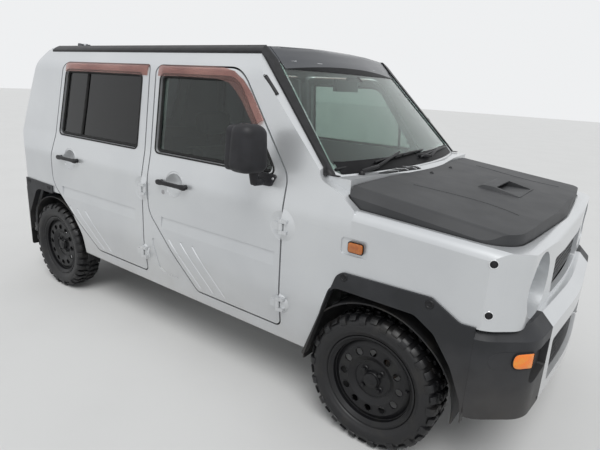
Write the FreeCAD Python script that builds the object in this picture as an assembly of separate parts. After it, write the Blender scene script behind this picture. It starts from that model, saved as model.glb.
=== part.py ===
import FreeCAD, Part
import math
import os

V = FreeCAD.Vector

# Driving sizes, in millimetres. +X is forward, +Y is the car's left side, and z is 0 on the ground.
WHEELBASE = 2360.0
FRONT_OVERHANG = 590.0
REAR_OVERHANG = 445.0
WIDTH = 1475.0
ROOF_CREST_Z = 1574.0
WAIST_Z = 1034.0
SILL_Z = 300.0
SHOULDER_FRONT_Z = 926.0
SHOULDER_REAR_Z = 946.0
SHOULDER_TILT = 2.88
FLARE_PROUD = 8.0

# Walls and running gaps
WALL = 50.0
SKIN = 20.0
DOOR_GAP = 8.0
DOOR_STEP = 12.0
SEAT_GAP = 0.3
GLASS_THICKNESS = 4.0
SCREEN_THICKNESS = 6.0
ROOF_THICKNESS = 36.0
BONNET_THICKNESS = 22.0
BONNET_GAP = 6.0
BONNET_FLANGE = 30.0
BUMPER_WALL = 30.0
FLARE_LIP = 10.0
LINER_WALL = 6.0
RUNNING_CLEARANCE = 0.05

# Worked out from the driving sizes
LENGTH = FRONT_OVERHANG + WHEELBASE + REAR_OVERHANG
FRONT_X = LENGTH / 2
REAR_X = -LENGTH / 2
FRONT_AXLE_X = FRONT_X - FRONT_OVERHANG
REAR_AXLE_X = FRONT_AXLE_X - WHEELBASE
BODY_HALF = WIDTH / 2 - FLARE_PROUD
FLOOR_TOP = SILL_Z + WALL
ABOVE_Z = ROOF_CREST_Z + 126.0


def front(ahead):
    """X of a place so far ahead of the front axle."""
    return FRONT_AXLE_X + ahead


def rear(ahead):
    """X of a place so far ahead of the rear axle."""
    return REAR_AXLE_X + ahead


def nose(behind):
    """X of a place so far behind the foremost point."""
    return FRONT_X - behind


def tail(ahead):
    """X of a place so far ahead of the rearmost point."""
    return REAR_X + ahead


def side(inside):
    """Y of a place so far inside the left flank."""
    return BODY_HALF - inside


# Wheels
TYRE_RADIUS = 280.0
TYRE_WIDTH = 156.0
WHEEL_Y = side(84.5)
LUG_HEIGHT = 9.0
LUG_COUNT = 36
LUG_ANGLE = 6.2
LUG_START_Y = 38.0
RIM_SEAT_RADIUS = 180.0
RIM_FLANGE_RADIUS = 193.0
RIM_WIDTH = 120.0
STUB_RADIUS = 30.0
STUB_REACH = 17.0
DISC_HOLES = 12
DISC_HOLE_RADIUS = 16.5
DISC_HOLE_CIRCLE = 123.0
LINER_RADIUS = TYRE_RADIUS + 46.0
FRONT_WELL_Y = WHEEL_Y - 245.0
REAR_WELL_Y = WHEEL_Y - 165.0
ARCH_TOP_Z = TYRE_RADIUS + 375.0

# Steering axis of the front knuckles, leaning inwards
KING_LOW_Y = WHEEL_Y - 55.0
KING_LOW_Z = TYRE_RADIUS - 90.0
KING_TOP_Y = WHEEL_Y - 149.0
KING_TOP_Z = TYRE_RADIUS + 444.0
ARM_END_Z = TYRE_RADIUS - 78.0
TOWER_TOP_Z = KING_TOP_Z + 16.0
TOWER_OUTER_Y = WHEEL_Y - 70.0
TOWER_HALF = 85.0

# Cabin
FIREWALL_X = front(-392.5)
FIREWALL_WALL = 50.0
COWL_SHELF_Z = 900.0
COWL_SHELF_WALL = 40.0
CABIN_FRONT_X = front(-122.5)
SCREEN_FOOT_X = front(-170.5)
SCREEN_FOOT_Z = 1058.0
SCREEN_TOP_X = front(-670.5)
SCREEN_TOP_Z = ROOF_CREST_Z - 24.0
SCREEN_BOW = 83.0
FOOT_CUT_Y = side(74.5)
ROOF_HALF = side(169.5)
ROOF_FRONT_X = SCREEN_TOP_X + 3.0
ROOF_REAR_X = tail(345.5)
ROOF_RIBS = 6
REAR_KICK_X = rear(302.5)
REAR_FLOOR_Z = 465.0
UNDER_REAR_Z = REAR_FLOOR_Z - 35.0

# Tail
TAIL_FACE_X = tail(25.5)
TAIL_BEND_Z = 1010.0
TAIL_TOP_X = tail(272.5)
PLATE_BOLT_SPACING = 210.0
PLATE_BOLT_HOLE = 3.2
PLATE_Z = 800.0
PLATE_PAD = (340.0, 40.0, 3.0)

# Nose
NOSE_FACE_X = nose(67.5)
NOSE_SPLIT_X = nose(225.5)
LAMP_Y = side(213.5)
LAMP_Z = 787.0
LAMP_RADIUS = 118.0
LAMP_BACK_X = nose(192.5)
TUNNEL_WALL = 6.0
MESH_PITCH = 46.0
MESH_HOLE = 21.0
BUMPER_LOW = 332.0
BUMPER_BEND = 628.0
BUMPER_TOP = 672.0
BUMPER_BEVEL = 42.0
BUMPER_SPLIT_Y = side(279.5)
BUFFER_X = nose(145.5)
BUFFER_Y = side(429.5)
INTAKE_POST = 48.0
INTAKE_SLOT_ZS = (402.0, 436.0, 470.0, 504.0, 538.0)

# Bonnet
BONNET_REAR_X = front(-178.5)
BONNET_TILT = 6.65
BONNET_TILT_AT = (nose(77.5), 0.0, SHOULDER_REAR_Z + 16.0)
BONNET_HINGE_X = BONNET_REAR_X - 3.0
BONNET_HINGE_Z = SCREEN_FOOT_Z - 10.0
SCOOP_REAR_X = front(130.0)
SCOOP_FRONT_X = front(298.0)
SCOOP_HALF = 112.0

# Exposed hinges: the axis runs outside the skin
HINGE_PROUD = 12.5
HINGE_Y = BODY_HALF + HINGE_PROUD
FRONT_HINGE_X = front(-448.0)
REAR_HINGE_X = rear(973.0)
DOOR_HINGE_ZS = ((490.0, 54.0), (835.0, 66.0))
TAIL_HINGE_X = tail(339.5)
TAIL_HINGE_Z = ROOF_CREST_Z - 2.0
TAIL_HINGE_Y = side(349.5)
HINGE_PIN_RADIUS = 5.0
HINGE_BARREL_RADIUS = 11.5
HINGE_LEAF = 34.0
HINGE_HALF = 31.0
KNUCKLE_HALF = 15.5
HINGE_PLAY = 0.5
PAD_DEPTH = 12.0

# Pads for a jack under the sills
JACK_XS = (front(-487.5), rear(412.5))
JACK_Y = side(69.5)
JACK_PAD = 8.0

# Seats and controls
SEAT_INNER_Y = 100.0
SEAT_OUTER_Y = side(159.5)
SEAT_Y = (SEAT_INNER_Y + SEAT_OUTER_Y) / 2
SEAT_HALF = (SEAT_OUTER_Y - SEAT_INNER_Y) / 2
WHEEL_RIM_RADIUS = 178.0
STEERING_HUB = (front(-807.5), -SEAT_Y, 893.0)
STEERING_AXIS = (-155.0, 0.0, 72.0)


def rounded_wire(corners, point, inset=0.0):
    """A closed wire through (a, b, radius) corners, each rounded by a tangent arc, moved inwards by inset."""
    count = len(corners)
    area = 0.0
    for i in range(count):
        a, b = corners[i], corners[(i + 1) % count]
        area += a[0] * b[1] - b[0] * a[1]
    turn = 1.0 if area > 0 else -1.0
    directions = []
    for i in range(count):
        a, b = corners[i], corners[(i + 1) % count]
        length = math.hypot(b[0] - a[0], b[1] - a[1])
        directions.append(((b[0] - a[0]) / length, (b[1] - a[1]) / length))
    arcs = []
    for i in range(count):
        before, after = directions[i - 1], directions[i]
        n1 = (-before[1] * turn, before[0] * turn)
        n2 = (-after[1] * turn, after[0] * turn)
        share = inset / (1.0 + n1[0] * n2[0] + n1[1] * n2[1])
        a = corners[i][0] + share * (n1[0] + n2[0])
        b = corners[i][1] + share * (n1[1] + n2[1])
        cross = before[0] * after[1] - before[1] * after[0]
        radius = corners[i][2]
        if radius > 0:
            radius = max(radius - inset * (1.0 if cross * turn > 0 else -1.0), 1.0)
        half = abs(math.atan2(cross, before[0] * after[0] + before[1] * after[1])) / 2
        if radius == 0 or half < 1e-4:
            arcs.append(((a, b), None, (a, b)))
            continue
        run = radius * math.tan(half)
        back = radius / math.cos(half) - radius
        bx, by = after[0] - before[0], after[1] - before[1]
        size = math.hypot(bx, by)
        arcs.append((
            (a - before[0] * run, b - before[1] * run),
            (a + bx / size * back, b + by / size * back),
            (a + after[0] * run, b + after[1] * run),
        ))
    edges = []
    for i in range(count):
        start, middle, end = arcs[i]
        following = arcs[(i + 1) % count][0]
        if middle is not None:
            edges.append(Part.Arc(point(*start), point(*middle), point(*end)).toShape())
        if math.hypot(following[0] - end[0], following[1] - end[1]) > 1e-6:
            edges.append(Part.LineSegment(point(*end), point(*following)).toShape())
    return Part.Wire(edges)


def side_slab(corners, low, high, inset=0.0):
    """An outline of (x, z, radius) corners, thick from y = low to y = high."""
    wire = rounded_wire(corners, lambda a, b: V(a, low, b), inset)
    return Part.Face(wire).extrude(V(0, high - low, 0))


def front_slab(corners, low, high, inset=0.0):
    """An outline of (y, z, radius) corners, thick from x = low to x = high."""
    wire = rounded_wire(corners, lambda a, b: V(low, a, b), inset)
    return Part.Face(wire).extrude(V(high - low, 0, 0))


def plan_slab(corners, low, high, inset=0.0, drift=0.0):
    """An outline of (x, y, radius) corners, thick from z = low to z = high, drifting along X on the way."""
    wire = rounded_wire(corners, lambda a, b: V(a, b, low), inset)
    return Part.Face(wire).extrude(V(drift, 0, high - low))


def block(low, high):
    """A box between two corners."""
    return Part.makeBox(high[0] - low[0], high[1] - low[1], high[2] - low[2], V(*low))


def rod(start, end, radius):
    """A round bar between two points."""
    start, end = V(*start), V(*end)
    return Part.makeCylinder(radius, (end - start).Length, start, end - start)


def mirrored_x(half):
    """A (y, z, radius) outline from its y > 0 half, bottom to top."""
    return half + [(-y, z, r) for y, z, r in reversed(half) if y > 0]


def mirrored_y(half):
    """An (x, y, radius) outline from its y > 0 half, front to rear."""
    return half + [(x, -y, r) for x, y, r in reversed(half) if y > 0]


def flip(shape):
    """The same shape on the car's other side."""
    return shape.mirror(V(0, 0, 0), V(0, 1, 0))


def both(shape):
    """A shape and its mirror image as one compound of separate solids."""
    return Part.makeCompound([shape, flip(shape)])


def pair(shape):
    """A list of a shape and its mirror image."""
    return [shape, flip(shape)]


def fuse(shapes):
    """All shapes joined into one."""
    return shapes[0].multiFuse(shapes[1:]).removeSplitter()




# Outlines of the body. Each row is (coordinate, coordinate, corner radius).
SECTION = mirrored_x([
    (side(32), SILL_Z, 15),
    (BODY_HALF, SILL_Z + 240, 420),
    (BODY_HALF, 900, 260),
    (side(26.5), 1030, 300),
    (side(74.5), 1440, 110),
    (ROOF_HALF, ROOF_CREST_Z - 24, 110),
    (0, ROOF_CREST_Z, 6000),
])
PLAN = mirrored_y([
    (NOSE_FACE_X, 0, 4000),
    (NOSE_FACE_X - 30, side(84.5), 85),
    (NOSE_FACE_X - 124, BODY_HALF + 4, 110),
    (TAIL_FACE_X + 26, BODY_HALF + 4, 130),
    (TAIL_FACE_X, 0, 7000),
])
CABIN_SIDE = [
    (TAIL_FACE_X - 3, SILL_Z, 40),
    (TAIL_FACE_X - 3, TAIL_BEND_Z, 260),
    (TAIL_TOP_X + 8, ROOF_CREST_Z - 2, 90),
    (SCREEN_TOP_X - 14, ROOF_CREST_Z - 2, 160),
    (SCREEN_FOOT_X + 8, SCREEN_FOOT_Z, 30),
    (CABIN_FRONT_X, SCREEN_FOOT_Z - 26, 10),
    (CABIN_FRONT_X, SILL_Z, 0),
]
FOOT_CUT = [
    (front(-307.5), SCREEN_FOOT_Z + 60, 0),
    (front(-295.5), SCREEN_FOOT_Z - 8, 40),
    (front(-195.5), SHOULDER_REAR_Z + 66, 90),
    (CABIN_FRONT_X + 5, SHOULDER_REAR_Z + 8, 0),
    (front(-7.5), SHOULDER_REAR_Z + 8, 0),
    (front(-7.5), SCREEN_FOOT_Z + 60, 0),
]
NOSE_SECTION = mirrored_x([
    (side(32), SILL_Z, 15),
    (BODY_HALF, SILL_Z + 240, 420),
    (BODY_HALF, ABOVE_Z, 0),
])
NOSE_SHOULDER = mirrored_x([
    (BODY_HALF + 50, 0, 0),
    (BODY_HALF + 50, 800, 0),
    (BODY_HALF + 1, 850, 0),
    (BODY_HALF + 1, SHOULDER_FRONT_Z + 1, 44),
])
NOSE_SIDE = [
    (FIREWALL_X - 115, SILL_Z, 0),
    (NOSE_FACE_X + 4, SILL_Z, 0),
    (NOSE_FACE_X + 4, 700, 0),
    (NOSE_FACE_X - 16, SHOULDER_FRONT_Z, 40),
    (FIREWALL_X - 115, SHOULDER_REAR_Z + 31, 0),
]
BONNET_PLAN = mirrored_y([
    (nose(111.5), 0, 1200),
    (nose(143.5), side(249.5), 200),
    (nose(165.5), side(57.5), 125),
    (BONNET_REAR_X, side(57.5), 10),
    (BONNET_REAR_X + 6, side(169.5), 160),
    (CABIN_FRONT_X + 5, 0, 1200),
])
BONNET_SECTION = mirrored_x([
    (side(29.5), 700, 0),
    (side(29.5), SHOULDER_REAR_Z - 62, 0),
    (side(84.5), SHOULDER_REAR_Z + 10, 30),
    (side(349.5), SHOULDER_REAR_Z + 24, 6),
    (0, SHOULDER_REAR_Z + 30, 9000),
])
BONNET_SIDE = [
    (BONNET_REAR_X, SCREEN_FOOT_Z + 20, 0),
    (BONNET_REAR_X, SHOULDER_REAR_Z - 22, 0),
    (nose(105.5), SHOULDER_FRONT_Z + 2, 0),
    (nose(131.5), SHOULDER_FRONT_Z + 64, 34),
]
BONNET_CREST_Z = SHOULDER_REAR_Z + 30
SCOOP_HUMP = [
    (SCOOP_REAR_X - 6, BONNET_CREST_Z - 8, 0),
    (SCOOP_REAR_X + 20, BONNET_CREST_Z + 11, 20),
    (SCOOP_REAR_X + 66, BONNET_CREST_Z + 13, 6),
    (SCOOP_FRONT_X + 10, BONNET_CREST_Z + 1, 0),
    (SCOOP_FRONT_X + 10, BONNET_CREST_Z - 8, 0),
]
SCOOP_THROAT = [
    (SCOOP_REAR_X + 26, BONNET_CREST_Z - 15, 0),
    (SCOOP_REAR_X + 26, BONNET_CREST_Z + 5, 6),
    (SCOOP_REAR_X + 72, BONNET_CREST_Z + 7, 0),
    (SCOOP_REAR_X + 72, BONNET_CREST_Z + 60, 0),
    (SCOOP_FRONT_X + 30, BONNET_CREST_Z + 60, 0),
    (SCOOP_FRONT_X, BONNET_CREST_Z - 1, 0),
]
FRONT_DOOR = [
    (FRONT_HINGE_X - 4, SILL_Z + 66, 30),
    (FRONT_HINGE_X - 4, WAIST_Z + 3, 110),
    (front(-762.5), ROOF_CREST_Z - 121, 150),
    (rear(1018.5), ROOF_CREST_Z - 121, 35),
    (rear(1016.5), 722, 130),
    (rear(1368.5), SILL_Z + 66, 40),
]
REAR_DOOR = [
    (REAR_HINGE_X - 4, SILL_Z + 66, 30),
    (REAR_HINGE_X - 4, ROOF_CREST_Z - 121, 35),
    (rear(140.5), ROOF_CREST_Z - 121, 60),
    (rear(74.5), WAIST_Z - 18, 200),
    (rear(40.5), 880, 200),
    (rear(40.5), 715, 130),
    (rear(490.5), SILL_Z + 66, 60),
]
FRONT_WINDOW = [
    (FRONT_HINGE_X - 67.5, WAIST_Z, 25),
    (front(-785.5), ROOF_CREST_Z - 166, 110),
    (rear(1062.5), ROOF_CREST_Z - 166, 30),
    (rear(1056.5), WAIST_Z, 25),
]
REAR_WINDOW = [
    (REAR_HINGE_X - 76.5, WAIST_Z, 25),
    (REAR_HINGE_X - 66.5, ROOF_CREST_Z - 166, 30),
    (rear(182.5), ROOF_CREST_Z - 166, 35),
    (rear(124.5), WAIST_Z, 25),
]
SCREEN_GLASS = mirrored_x([(side(79.5), SCREEN_FOOT_Z + 4, 40), (side(197.5), SCREEN_TOP_Z - 54, 45)])
TAILGATE = mirrored_x([
    (side(129.5), BUMPER_TOP + 12, 60),
    (side(114.5), TAIL_BEND_Z, 60),
    (side(173.5), ABOVE_Z, 0),
])
TAILGATE_WINDOW = mirrored_x([(side(189.5), TAIL_BEND_Z + 50, 50), (side(229.5), ROOF_CREST_Z - 134, 50)])
FRONT_ARCH = [
    (FRONT_AXLE_X - LINER_RADIUS - 13.5, 200, 0),
    (front(-195.5), ARCH_TOP_Z, 60),
    (front(164.5), ARCH_TOP_Z - 2, 60),
    (front(244.5), ARCH_TOP_Z - 51, 60),
    (FRONT_AXLE_X + LINER_RADIUS - 5.5, 500, 200),
    (FRONT_AXLE_X + LINER_RADIUS + 46.5, 380, 100),
    (FRONT_AXLE_X + LINER_RADIUS + 66.5, 200, 0),
]
REAR_ARCH = [
    (REAR_AXLE_X + LINER_RADIUS + 1.5, 200, 0),
    (REAR_AXLE_X + LINER_RADIUS - 5.5, 430, 150),
    (rear(192.5), ARCH_TOP_Z, 160),
    (rear(-177.5), ARCH_TOP_Z, 90),
    (REAR_AXLE_X - LINER_RADIUS + 18.5, 460, 120),
    (REAR_AXLE_X - LINER_RADIUS - 11.5, 200, 0),
]
FRONT_FLARE = [
    (front(-310.5), SILL_Z + 2, 8),
    (front(-161.5), ARCH_TOP_Z + 61, 50),
    (front(214.5), ARCH_TOP_Z + 69, 20),
    (front(320.5), ARCH_TOP_Z + 9, 40),
    (front(392.5), ARCH_TOP_Z + 12, 0),
    (front(392.5), SILL_Z + 2, 0),
]
REAR_FLARE = [
    (rear(34.5), ARCH_TOP_Z - 55, 0),
    (rear(34.5), ARCH_TOP_Z + 38, 0),
    (rear(-347.5), ARCH_TOP_Z + 46, 0),
    (rear(-347.5), SILL_Z + 2, 0),
    (rear(-147.5), SILL_Z + 2, 0),
    (rear(-147.5), ARCH_TOP_Z - 55, 0),
]
FRONT_BUMPER = mirrored_y([
    (FRONT_X, 0, 2600),
    (nose(30), BUMPER_SPLIT_Y, 900),
    (nose(44), side(119.5), 130),
    (nose(190), WIDTH / 2, 120),
    (nose(297.5), WIDTH / 2, 0),
    (nose(297.5), 0, 0),
])
REAR_BUMPER = mirrored_y([
    (tail(197.5), 0, 0),
    (tail(197.5), WIDTH / 2, 0),
    (tail(110), WIDTH / 2, 120),
    (tail(8), side(89.5), 160),
    (REAR_X, 0, 7000),
])
GRILLE = mirrored_x([(BUMPER_SPLIT_Y - 150, 690, 12), (BUMPER_SPLIT_Y - 138, 836, 12)])
INTAKE = mirrored_x([(BUMPER_SPLIT_Y - INTAKE_POST - 28, 376, 12), (BUMPER_SPLIT_Y - INTAKE_POST, 560, 12)])
FOG_POCKET = [(BUMPER_SPLIT_Y + 8, 480, 10), (side(124.5), 462, 20), (side(124.5), 590, 20), (BUMPER_SPLIT_Y + 8, 590, 10)]
CORNER_LAMP = [(side(124.5), 526, 10), (side(12.5), 524, 30), (side(12.5), 592, 34), (side(124.5), 590, 10)]
MARKER = [(front(-124.5), 807, 12), (front(-65.5), 807, 12), (front(-65.5), 842, 12), (front(-124.5), 842, 12)]
MARKER_PAN = [(front(-161.5), 789, 16), (front(-45.5), 789, 16), (front(-45.5), 857, 16), (front(-161.5), 857, 16)]
PILLAR_PAN = [
    (rear(1035), 602, 12),
    (rear(1078), 414, 12),
    (rear(1118), 398, 12),
    (rear(1243), 396, 12),
    (rear(1218), 446, 12),
]
TAIL_LAMP = [(side(101.5), 706, 15), (side(23.5), 706, 15), (side(23.5), 990, 15), (side(101.5), 990, 15)]
STRIP = [
    (side(80.5), SCREEN_FOOT_Z + 4, 0),
    (side(50.5), SCREEN_FOOT_Z + 4, 0),
    (side(139.5), SCREEN_TOP_Z - 50, 0),
    (side(139.5), ABOVE_Z, 0),
    (ROOF_HALF, ABOVE_Z, 0),
    (side(194.5), SCREEN_TOP_Z - 54, 0),
]
DASH = [
    (FIREWALL_X, 640, 0),
    (FIREWALL_X, 985, 0),
    (FIREWALL_X - 155, 985, 40),
    (FIREWALL_X - 260, 930, 40),
    (FIREWALL_X - 245, 780, 60),
    (FIREWALL_X - 115, 640, 60),
]
CUSHION = [(-70, 480, 40), (430, 470, 50), (420, 625, 60), (-70, 600, 20)]
SEAT_BACK = [(-90, 480, 30), (30, 540, 20), (-95, 1085, 40), (-215, 1075, 50)]
HEADREST = [(-215, 1060, 10), (-110, 1060, 10), (-125, 1250, 40), (-215, 1250, 40)]
REAR_CUSHION = [(rear(382.5), 480, 40), (rear(852.5), 490, 50), (rear(852.5), 620, 60), (rear(382.5), 600, 20)]
REAR_BACK = [(rear(392.5), 520, 30), (rear(262.5), 520, 30), (rear(172.5), 1090, 40), (rear(267.5), 1100, 40)]

# Door details: a handle and its dish, a long groove, and slanting grooves from their upper to their lower end.
DOOR_DETAILS = {
    "front": {
        "outline": FRONT_DOOR,
        "window": FRONT_WINDOW,
        "hinge_x": FRONT_HINGE_X,
        "handle_x": rear(1224.5),
        "groove": (rear(1122.5), front(-485.5)),
        "slants": [
            ((rear(1179.5), 605), (rear(1400.5), 390)),
            ((rear(1268.5), 608), (rear(1486.5), 391)),
            ((rear(1357.5), 608), (rear(1568.5), 392)),
        ],
    },
    "rear": {
        "outline": REAR_DOOR,
        "window": REAR_WINDOW,
        "hinge_x": REAR_HINGE_X,
        "handle_x": rear(260.5),
        "groove": (rear(152.5), rear(899.5)),
        "slants": [
            ((rear(224.5), 599), (rear(462.5), 400)),
            ((rear(306.5), 596), (rear(549.5), 385)),
            ((rear(399.5), 601), (rear(624.5), 391)),
        ],
    },
}
HANDLE_Z = 896.0
HANDLE_HALF = 112.0
DISH_RADIUS = 66.0
DISH_DEPTH = 25.0
GROOVE_LOW_Z = 640.0
GROOVE_TOP_Z = 712.0
GROOVE_DEPTH = 7.0
SLANT_RADIUS = 8.0
SLANT_PROUD = 5.0


def flank_y(z):
    """The flank's distance from the middle of the car at a height below the waist."""
    return BODY_HALF - 32.0 * max(0.0, (SILL_Z + 240.0 - z) / 240.0)


def bonnet_rim_z(x):
    """The height of the bonnet's lower rim."""
    (x1, z1, _), (x2, z2, _) = BONNET_SIDE[1:3]
    return z1 + (z2 - z1) * (x - x1) / (x2 - x1)


def bowed_screen(inset):
    """Everything behind the curved windscreen, which leans back from its foot."""
    foot = V(SCREEN_FOOT_X, 0, SCREEN_FOOT_Z)
    along = V(SCREEN_TOP_X, 0, SCREEN_TOP_Z) - foot
    along.normalize()
    inward = V(-along.z, 0, along.x)
    start = foot - along * 800 + inward * inset
    left = start + inward * SCREEN_BOW + V(0, WIDTH / 2, 0)
    right = start + inward * SCREEN_BOW - V(0, WIDTH / 2, 0)
    back = inward * 3000
    wire = Part.Wire([
        Part.Arc(left, start, right).toShape(),
        Part.LineSegment(right, right + back).toShape(),
        Part.LineSegment(right + back, left + back).toShape(),
        Part.LineSegment(left + back, left).toShape(),
    ])
    upper = Part.Face(wire).extrude(along * LENGTH)
    lower = block((REAR_X - 100, -WIDTH, 0), (FRONT_X, WIDTH, SCREEN_FOOT_Z - inset))
    return upper.fuse(lower)


def body_plan(inset):
    """The plan outline, upright to the tail's bend and leaning forward above it."""
    height = ABOVE_Z - TAIL_BEND_Z
    drift = height * (TAIL_TOP_X - TAIL_FACE_X) / (ROOF_CREST_Z - 28 - TAIL_BEND_Z)
    upright = plan_slab(PLAN, 0, TAIL_BEND_Z, inset)
    leaning = plan_slab(PLAN, TAIL_BEND_Z, ABOVE_Z, inset, drift)
    return upright.fuse(leaning)


ENVELOPES = {}


def envelope(inset):
    """The outside of the body moved inwards by inset: the cabin and the nose."""
    if inset not in ENVELOPES:
        section = front_slab(SECTION, REAR_X, FRONT_X, inset)
        plan = body_plan(inset)
        cabin = side_slab(CABIN_SIDE, -WIDTH, WIDTH, inset).common(section).common(plan)
        cabin = cabin.common(bowed_screen(inset))
        foot = side_slab(FOOT_CUT, FOOT_CUT_Y - inset, WIDTH, -inset)
        cabin = cabin.cut(foot).cut(flip(foot))
        bow = side_slab(NOSE_SIDE, -WIDTH, WIDTH, inset)
        bow = bow.common(front_slab(NOSE_SECTION, CABIN_FRONT_X - inset, FRONT_X, inset)).common(plan)
        shoulder = front_slab(NOSE_SHOULDER, CABIN_FRONT_X - 100, FRONT_X + 100, inset)
        shoulder.rotate(V(NOSE_FACE_X - 16, 0, SHOULDER_FRONT_Z), V(0, 1, 0), SHOULDER_TILT)
        bow = bow.common(shoulder)
        ENVELOPES[inset] = cabin.fuse(bow)
    return ENVELOPES[inset]


def layer(outer, inner, region):
    """The part of the body's wall between two depths that lies in a region."""
    return envelope(outer).common(region).cut(envelope(inner))


def left_region(corners, inset=0.0):
    """A side outline reaching through the left wall."""
    return side_slab(corners, side(249.5), WIDTH, inset)


def wheel_well(axle_x, inner_y, radius):
    """The room for one left wheel: round above the axle, straight below it."""
    turn = Part.makeCylinder(radius, WIDTH / 2 - inner_y, V(axle_x, inner_y, TYRE_RADIUS), V(0, 1, 0))
    lower = block((axle_x - radius, inner_y, 150), (axle_x + radius, WIDTH / 2, TYRE_RADIUS))
    return turn.fuse(lower)


def king_y(z):
    """The left steering axis's distance from the middle of the car at a height."""
    return KING_LOW_Y + (KING_TOP_Y - KING_LOW_Y) * (z - KING_LOW_Z) / (KING_TOP_Z - KING_LOW_Z)


def bonnet_space(inset, drop=0.0):
    """The bonnet's outside, moved inwards by inset, with its underside lowered by drop."""
    section = front_slab(BONNET_SECTION, front(-307.5), FRONT_X, inset)
    section.rotate(V(*BONNET_TILT_AT), V(0, 1, 0), BONNET_TILT)
    corners = list(BONNET_SIDE)
    for i in (1, 2):
        corners[i] = (corners[i][0], corners[i][1] - drop, 0)
    profile = side_slab(corners, -WIDTH, WIDTH, inset)
    plan = plan_slab(BONNET_PLAN, 800, 1200, inset)
    return section.common(profile).common(plan)


def bonnet_well():
    """The room that the bonnet fills and lifts out of, wider than it by the gap."""
    rear, front_corner = BONNET_SIDE[1], BONNET_SIDE[2]
    corners = [(rear[0], 1300, 0), rear, front_corner, (front_corner[0], 1300, 0)]
    return side_slab(corners, -WIDTH, WIDTH, -BONNET_GAP).common(plan_slab(BONNET_PLAN, 800, 1200, -BONNET_GAP))


def make_bonnet():
    """The bonnet: a tray with sloping sides over the engine bay, and a scoop open to the front."""
    sides = mirrored_x([(SCOOP_HALF + 18, BONNET_CREST_Z - 8, 0), (SCOOP_HALF + 4, BONNET_CREST_Z + 24, 0)])
    hump = side_slab(SCOOP_HUMP, -SCOOP_HALF - 20, SCOOP_HALF + 20)
    hump = hump.common(front_slab(sides, SCOOP_REAR_X - 10, SCOOP_FRONT_X + 20))
    throat = side_slab(SCOOP_THROAT, 8 - SCOOP_HALF, SCOOP_HALF - 8)
    for shape in (hump, throat):
        shape.rotate(V(*BONNET_TILT_AT), V(0, 1, 0), BONNET_TILT)
    inner = bonnet_space(BONNET_THICKNESS, 2 * BONNET_THICKNESS)
    behind = inner.copy()
    behind.translate(V(-2 * BONNET_THICKNESS, 0, 0))
    tray = bonnet_space(0.0).cut(inner).cut(behind)
    return tray.fuse(hump).cut(throat)


def make_body():
    """The shell, hollow from its tail to its nose, with the bonnet's opening."""
    cabin_room = envelope(WALL).common(fuse([
        block((REAR_KICK_X + 35, -WIDTH, FLOOR_TOP), (FIREWALL_X, WIDTH, ABOVE_Z)),
        block((REAR_X, -WIDTH, REAR_FLOOR_Z), (FIREWALL_X, WIDTH, ABOVE_Z)),
        block((0, -WIDTH, COWL_SHELF_Z + COWL_SHELF_WALL), (SCREEN_FOOT_X, WIDTH, ABOVE_Z)),
    ]))
    bay_start = FIREWALL_X + FIREWALL_WALL
    bay_room = envelope(SKIN).common(fuse([
        block((bay_start, -WIDTH, SILL_Z), (FRONT_X, WIDTH, COWL_SHELF_Z)),
        block((CABIN_FRONT_X + 20, -WIDTH, SILL_Z), (FRONT_X, WIDTH, 1200)),
    ]))
    under_bay = block((bay_start, -side(89.5), 200), (nose(197.5), side(89.5), SILL_Z + SKIN + 1))
    shell = envelope(0.0).cut(cabin_room).cut(bay_room.fuse(under_bay))
    opening = plan_slab(BONNET_PLAN, 800, 1200, BONNET_FLANGE)
    bounds = block((CABIN_FRONT_X + 5, -side(104.5), 800), (FRONT_X, side(104.5), 1200))
    return shell.cut(opening.common(bounds)).cut(bonnet_well())


def bumper_solid(corners, inset):
    """A bumper's outline, upright below its bend and bevelled above."""
    lower = plan_slab(corners, BUMPER_LOW, BUMPER_BEND, inset)
    foot = rounded_wire(corners, lambda a, b: V(a, b, BUMPER_BEND), inset)
    head = rounded_wire(corners, lambda a, b: V(a, b, BUMPER_TOP), inset + BUMPER_BEVEL)
    return lower.fuse(Part.makeLoft([foot, head], True, True))


def make_rim():
    """A steel rim about the Y axis at the origin, outer side towards +Y."""
    half = RIM_WIDTH / 2
    profile = [
        (RIM_SEAT_RADIUS, -half + 12), (RIM_FLANGE_RADIUS, -half + 6), (RIM_FLANGE_RADIUS, -half),
        (RIM_FLANGE_RADIUS - 8, -half), (RIM_SEAT_RADIUS - 10, -half + 14), (RIM_SEAT_RADIUS - 10, 20),
        (146, 34), (106, 36), (76, 18), (64, 14), (64, -12), (STUB_RADIUS + RUNNING_CLEARANCE, -12),
        (STUB_RADIUS + RUNNING_CLEARANCE, 18), (0, 18), (0, 44), (26, 44), (34, 36), (36, 26), (74, 26),
        (104, 44), (148, 42), (RIM_SEAT_RADIUS - 8, 28), (RIM_SEAT_RADIUS - 8, half - 12),
        (RIM_FLANGE_RADIUS - 7, half), (RIM_FLANGE_RADIUS, half), (RIM_FLANGE_RADIUS, half - 6),
        (RIM_SEAT_RADIUS, half - 12),
    ]
    wire = Part.makePolygon([V(r, y, 0) for r, y in profile + profile[:1]])
    rim = Part.Face(wire).revolve(V(0, 0, 0), V(0, 1, 0), 360)
    holes = []
    for i in range(DISC_HOLES):
        angle = 2 * math.pi * i / DISC_HOLES
        x, z = DISC_HOLE_CIRCLE * math.cos(angle), DISC_HOLE_CIRCLE * math.sin(angle)
        holes.append(Part.makeCylinder(DISC_HOLE_RADIUS, 60, V(x, 5, z), V(0, 1, 0)))
    return rim.cut(Part.makeCompound(holes))


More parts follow.
